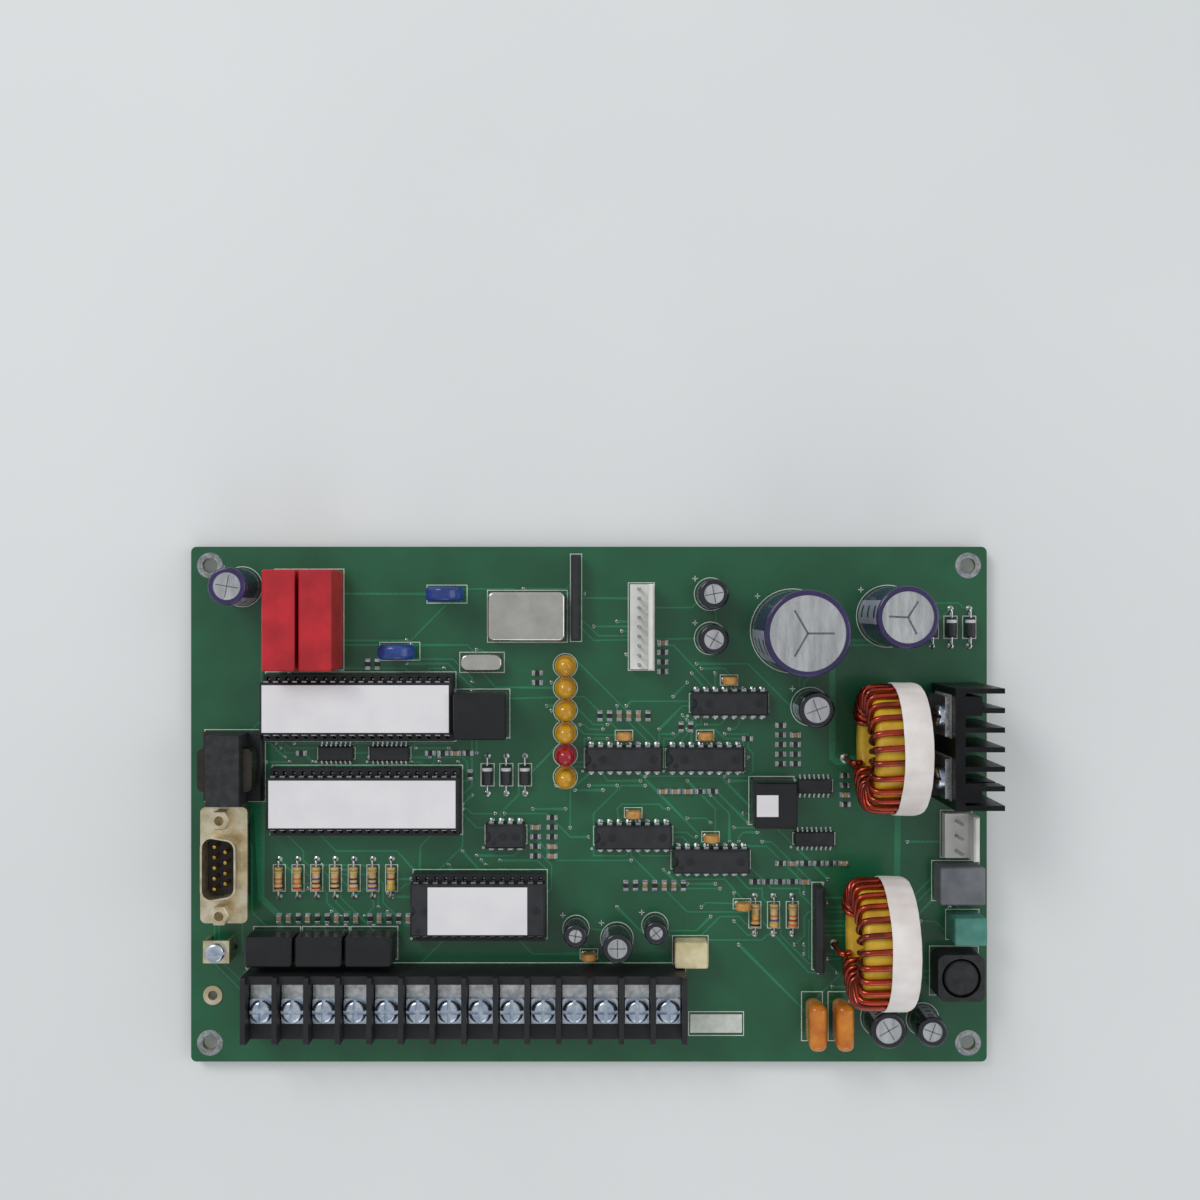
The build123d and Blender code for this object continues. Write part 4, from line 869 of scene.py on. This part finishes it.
# colour code inks on lacquer: flat bright rings with a slight gloss
bandInks = [grainedMaterial("bandInk" + name.capitalize(), *tones, (0.25, 0.35))
            for name, tones in bandHex.items()]
bandPiece = meshPiece("resistorBands", bands, bandInks[0], "beige_lacquer", smooth=40)
for bandInk in bandInks[1:]:
    bandPiece.data.materials.append(bandInk)
cathodes = bmesh.new()
cathode = bandShape(1.25 * mm, 0.45 * mm, 24)
for body in bodies["diodes"]:
    setDown(cathodes, cathode, body["middle"] + Vector((0, 1.65 * mm, 0)), layDown)
# silvery ink printed on the diodes: pale grey, dull
paleInk = grainedMaterial("cathodeInk", "#B9BBBD", "#D2D3D4", (0.4, 0.5), 1, 0.3)
meshPiece("cathodeBands", cathodes, paleInk, "black_gloss", smooth=40)
print("chips marked and bands painted")


# pressed vents on the capacitor cans: three arms on a wide can, a cross on a small one
vent = {"width": 0.34 * mm, "height": 0.02 * mm, "reach": 0.62, "wideCan": 7 * mm}
vents = bmesh.new()
for name in ("large_capacitor_cans", "small_capacitor_cans"):
    for number, can in enumerate(solidsOf(name)):
        arm = can["half"].x * vent["reach"]
        if can["half"].x > vent["wideCan"]:
            bars = [(2 * math.pi * i / 3 + number, arm, arm / 2, 1.5) for i in range(3)]
        else:
            bars = [(math.pi * i / 2 + number * 0.7, arm * 2, 0, 0.8) for i in range(2)]
        for angle, length, shift, share in bars:
            verts = flatBar(vents, shift, 0, length, vent["width"] * share)
            place = Matrix.Translation(atLevel(can["middle"], can["high"].z))
            bmesh.ops.transform(vents, matrix=place @ Matrix.Rotation(angle, 4, "Z"), verts=verts)
thicken(vents, vent["height"])
# aluminium scored by the press, drawn as raised flat bars: duller than the can, and painted darker than it as
# the shade inside the scored grooves
ventGrooveShade = grainedMaterial("paintedVentGrooveShade", "#6E7072", "#85878A", (0.3, 0.45), 1.0, 0.25, 0.01, 1.0)
meshPiece("capacitorVents", vents, ventGrooveShade, "can_aluminium", smooth=0)

# the pale negative stripe down each sleeve, with a dark dash every fourth row
stripe = {
    "angle": 46, "lift": 0.03 * mm, "film": 0.02 * mm, "columns": 8, "rows": 12,
    "facing": [200, 170, 300, 150, 210, 240, 120, 90, 190, 230, 250],      # degrees, one for each can
}
spread, rows = math.radians(stripe["angle"]), stripe["rows"]
stripes = bmesh.new()
sleeves = roundCans["large_capacitor_sleeves"] + roundCans["small_capacitor_sleeves"]
for can, facing in zip(sleeves, stripe["facing"]):
    middle = can["middle"]
    radius = can["half"].x + stripe["lift"]
    low, high = can["low"].z + 0.4 * mm, can["high"].z - 0.7 * mm
    facesBefore = len(stripes.faces)
    chain = [(middle.x + radius, middle.y, low + (high - low) * i / rows) for i in range(rows + 1)]
    start = math.radians(facing - stripe["angle"] / 2)
    sweepChain(stripes, chain, middle, (0, 0, 1), start, spread, stripe["columns"])
    stripes.faces.ensure_lookup_table()
    for face in stripes.faces[facesBefore:]:
        spoke = face.calc_center_median() - middle
        across = (math.atan2(spoke.y, spoke.x) - start) % (2 * math.pi) / spread
        level = (spoke.z + middle.z - low) / (high - low) * rows
        face.material_index = 1 if 0.3 < across < 0.7 and int(level) % 4 == 2 else 0
        if face.normal.xy.dot(spoke.xy) < 0:
            face.normal_flip()
bmesh.ops.solidify(stripes, geom=stripes.faces[:], thickness=stripe["film"])
# ink on vinyl: pale lilac, as glossy as the sleeve
stripeInk = grainedMaterial("sleeveStripeInk", "#9C9AB0", "#B4B2C4", (0.24, 0.36), 5, 1.0, coat=0.3)
meshPiece("sleeveStripes", stripes, stripeInk, "violet_sleeve").data.materials.append(darkSleeve)
print("capacitors dressed")

# lead frames cast into the lamps: an anvil with a bright cup, and a thinner post
anvil = bmesh.new()
for shift, wide, high in ((0.75, 1.3, 3.4), (-0.9, 0.8, 3.0)):
    addBox(anvil, (0.5 * mm, wide * mm, high * mm), (0, shift * mm, (0.3 + high / 2) * mm))
bevelAll(anvil, 0.08 * mm, 1)
cup = bmesh.ops.create_cone(anvil, cap_ends=True, segments=18, radius1=0.75 * mm, radius2=0.65 * mm,
                            depth=0.5 * mm, matrix=Matrix.Translation((0, 0.5 * mm, 3.9 * mm)))["verts"]
rim = max({f for v in cup for f in v.link_faces}, key=lambda f: f.calc_center_median().z)
bmesh.ops.inset_individual(anvil, faces=[rim], thickness=0.15 * mm)
bmesh.ops.translate(anvil, verts=rim.verts[:], vec=(0, 0, -0.3 * mm))
lampFrame = storeMesh("lampFrame", anvil)
lampFrames = bmesh.new()
for lamp in roundCans["amber_lamps"] + roundCans["red_lamp"]:
    setDown(lampFrames, lampFrame, atLevel(lamp["middle"], lamp["low"].z))
meshPiece("lampFrames", lampFrames, tinned, "tinned_metal", smooth=40)

# dipped capacitors: a pillow of resin with rounded shoulders, narrower towards its legs
resin = {"round": 1.9 * mm, "segments": 6, "waist": 0.35 * mm, "taper": 0.12, "wander": 0.06 * mm,
         "inset": 0.02 * mm}
dips = bmesh.new()
for body in bodies["dipped_capacitors"]:
    size = body["half"] * 2
    shape = bmesh.new()
    addBox(shape, size - Vector((2 * resin["inset"],) * 3))
    bevelAll(shape, resin["round"], resin["segments"])
    long = [e for e in shape.edges if e.calc_length() > 4 * mm]
    bmesh.ops.subdivide_edges(shape, edges=long, cuts=6, use_grid_fill=True)
    for vertex in shape.verts:      # the broad faces sink a little towards the lower edge, and wander
        drop = (0.5 - vertex.co.z / size.z) ** 2
        wander = abs(math.sin(vertex.co.y * 1400 + vertex.co.z * 900) * resin["wander"])
        vertex.co.x *= 1 - resin["waist"] / size.x * 2 * drop
        vertex.co.x -= math.copysign(wander, vertex.co.x)
        vertex.co.y *= 1 - resin["taper"] * drop
    bmesh.ops.translate(shape, verts=shape.verts, vec=body["middle"])
    addShape(dips, shape)
meshPiece("dippedCapacitors", dips, amberResin, "amber_resin", replaced=("dipped_capacitors",), smooth=60)
print("lamps and dipped capacitors made")


# small chip resistors and capacitors, set only where the board is free
passive = {"length": 2.0 * mm, "width": 1.25 * mm, "height": 0.55 * mm, "cap": 0.4 * mm, "clear": 0.25 * mm,
           "overlap": 0.03 * mm, "land": 1.0 * mm, "solder": 0.08 * mm, "level": 0.05 * mm,
           "capacitorHeight": 0.935 * mm, "capacitors": 0.35}      # capacitors: their share of all


def chipShape(height, bodyFinish):
    mesh = bmesh.new()
    length, width, cap, overlap = (passive[key] for key in ("length", "width", "cap", "overlap"))
    endX = length / 2 - cap / 2
    for x, size, grow, finish in ((0, length - cap * 1.6, 0, bodyFinish), (-endX, cap, overlap, 1),
                                  (endX, cap, overlap, 1)):
        addBox(mesh, (size, width + grow, height + grow), (x, 0, (height + grow) / 2), finish)
    bevelAll(mesh, 0.06 * mm, 2)
    for x in (-length / 2, length / 2):      # the land and its solder
        addBox(mesh, (passive["land"], width * 1.12, passive["solder"]), (x, 0, passive["solder"] / 2), 2)
    return storeMesh("chipShape", mesh)


bareOver = ("circuit_board", "upper_choke_winding", "lower_choke_winding", "choke_leads")
crowd = [(s["low"], s["high"]) for name in nodes if name not in bareOver for s in solidsOf(name)]


def isFree(place, reach):
    near, far = (place + sign * (reach + Vector((passive["clear"],) * 3)) for sign in (-1, 1))
    if any(low.x < far.x and high.x > near.x and low.y < far.y and high.y > near.y for low, high in crowd):
        return False
    aways = [(pin["at"] - place, pin["pad"]) for pin in pins]
    return all(abs(away.x) > reach.x + pad or abs(away.y) > reach.y + pad for away, pad in aways)


passiveRows = [      # first x, y, step x, step y, count, turned
    (52, 11, 0, 2.6, 5, False), (56, 11, 0, 2.6, 5, False), (69.5, 0, 0, 2.6, 4, False),
    (52, -16, 3.4, 0, 6, False), (-84, -31, 2.6, 0, 9, True), (-62, -31, 2.6, 0, 6, True),
    (-10, -14, 0, 2.6, 5, False), (-14.5, -14, 0, 2.6, 4, False), (20, 3.5, 3.4, 0, 5, False),
    (3, 24, 2.6, 0, 6, True), (20, 36, 0, 2.6, 4, False), (25, 21, 2.6, 0, 4, True),
    (-78, 13.85, 3.4, 0, 2, False), (-43, 13.85, 3.4, 0, 4, False), (-40, 8, 2.6, 0, 4, True),
    (43, 10, 0, 2.6, 4, False), (45, -21, 3.4, 0, 5, False), (10, -22, 2.6, 0, 7, True),
    (-14, 33, 0, 2.6, 2, False), (-60, 38, 2.6, 0, 4, True),
]
passives = bmesh.new()
resistorChip, capacitorChip = chipShape(passive["height"], 0), chipShape(passive["capacitorHeight"], 3)
quarter = Matrix.Rotation(math.pi / 2, 3, "Z")
placed = 0
for x, y, stepX, stepY, count, turned in passiveRows:
    reach = Vector((passive["length"] * 0.75, passive["width"] * 0.6, 0))
    if turned:
        reach = reach.yxz
    for i in range(count):
        place = Vector(((x + stepX * i) * mm, (y + stepY * i) * mm, boardTop + passive["level"]))
        if not isFree(place, reach):
            continue
        shape = capacitorChip if dice.random() < passive["capacitors"] else resistorChip
        setDown(passives, shape, place, quarter if turned else None)
        crowd.append((place - reach, place + reach))
        placed += 1
# fired glass over the resistor's film: black and shiny
chipGlaze = grainedMaterial("resistorGlaze", "#141518", "#1E1F23", (0.22, 0.34), 1, 0.2)
# bare multilayer ceramic: brown and dull
chipCeramic = grainedMaterial("capacitorCeramic", "#8A6C4C", "#A5845E", (0.4, 0.5), 1, 0.2)
passivePiece = meshPiece("chipPassives", passives, chipGlaze, "black_gloss")
for finish in (tinned, solderTin, chipCeramic):
    passivePiece.data.materials.append(finish)
print("chip passives:", placed)


# plain bench, soft lamps, and the camera straight above
studio = {
    "floor": ("#E4E7E7", "#E9EBEB"), "mottleMm": 1000 / 6, "floorSize": 16.0, "drop": 0.2 * mm,
    "cameraAt": (0.003, 0.0554, boardTop + 0.370), "fieldOfView": 47.5,
    "lamps": [("upperLeft", (-0.75, 0.85, 0.95), 0.55, 6.6), ("right", (1.0, 0.1, 0.7), 0.7, 2.2),
              ("lower", (0.1, -1.0, 0.6), 0.6, 1.3)],        # name, place, size, watts
    "sky": {"Color": hexColour("#ECEFF2"), "Strength": 0.6},
}
floorMesh = bmesh.new()
bmesh.ops.create_grid(floorMesh, x_segments=1, y_segments=1, size=studio["floorSize"])
bmesh.ops.translate(floorMesh, verts=floorMesh.verts, vec=(0, 0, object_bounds()[0].z - studio["drop"]))
bench = addObject("bench", storeMesh("bench", floorMesh))
# matt emulsion on a board: pale grey, hardly mottled
benchPaint = mottledMaterial("benchPaint", {"Roughness": 0.6}, *studio["floor"], studio["mottleMm"], 3.0)[0]
bench.data.materials.append(benchPaint)

for name, place, size, watts in studio["lamps"]:
    light = bpy.data.lights.new(name, "AREA")
    light.size = size
    light.energy = watts
    lamp = addObject(name, light)
    lamp.location = place
    lamp.rotation_euler = (-Vector(place)).to_track_quat("-Z", "Y").to_euler()

world = bpy.data.worlds.new("softRoom")
bpy.context.scene.world = world
world.use_nodes = True
setInputs(world.node_tree, world.node_tree.nodes["Background"], studio["sky"])

camera = addObject("camera", bpy.data.cameras.new("camera"))
camera.data.angle = math.radians(studio["fieldOfView"])
camera.location = studio["cameraAt"]
bpy.context.scene.camera = camera
bpy.context.scene.view_settings.view_transform = "Standard"

print("scene ready")
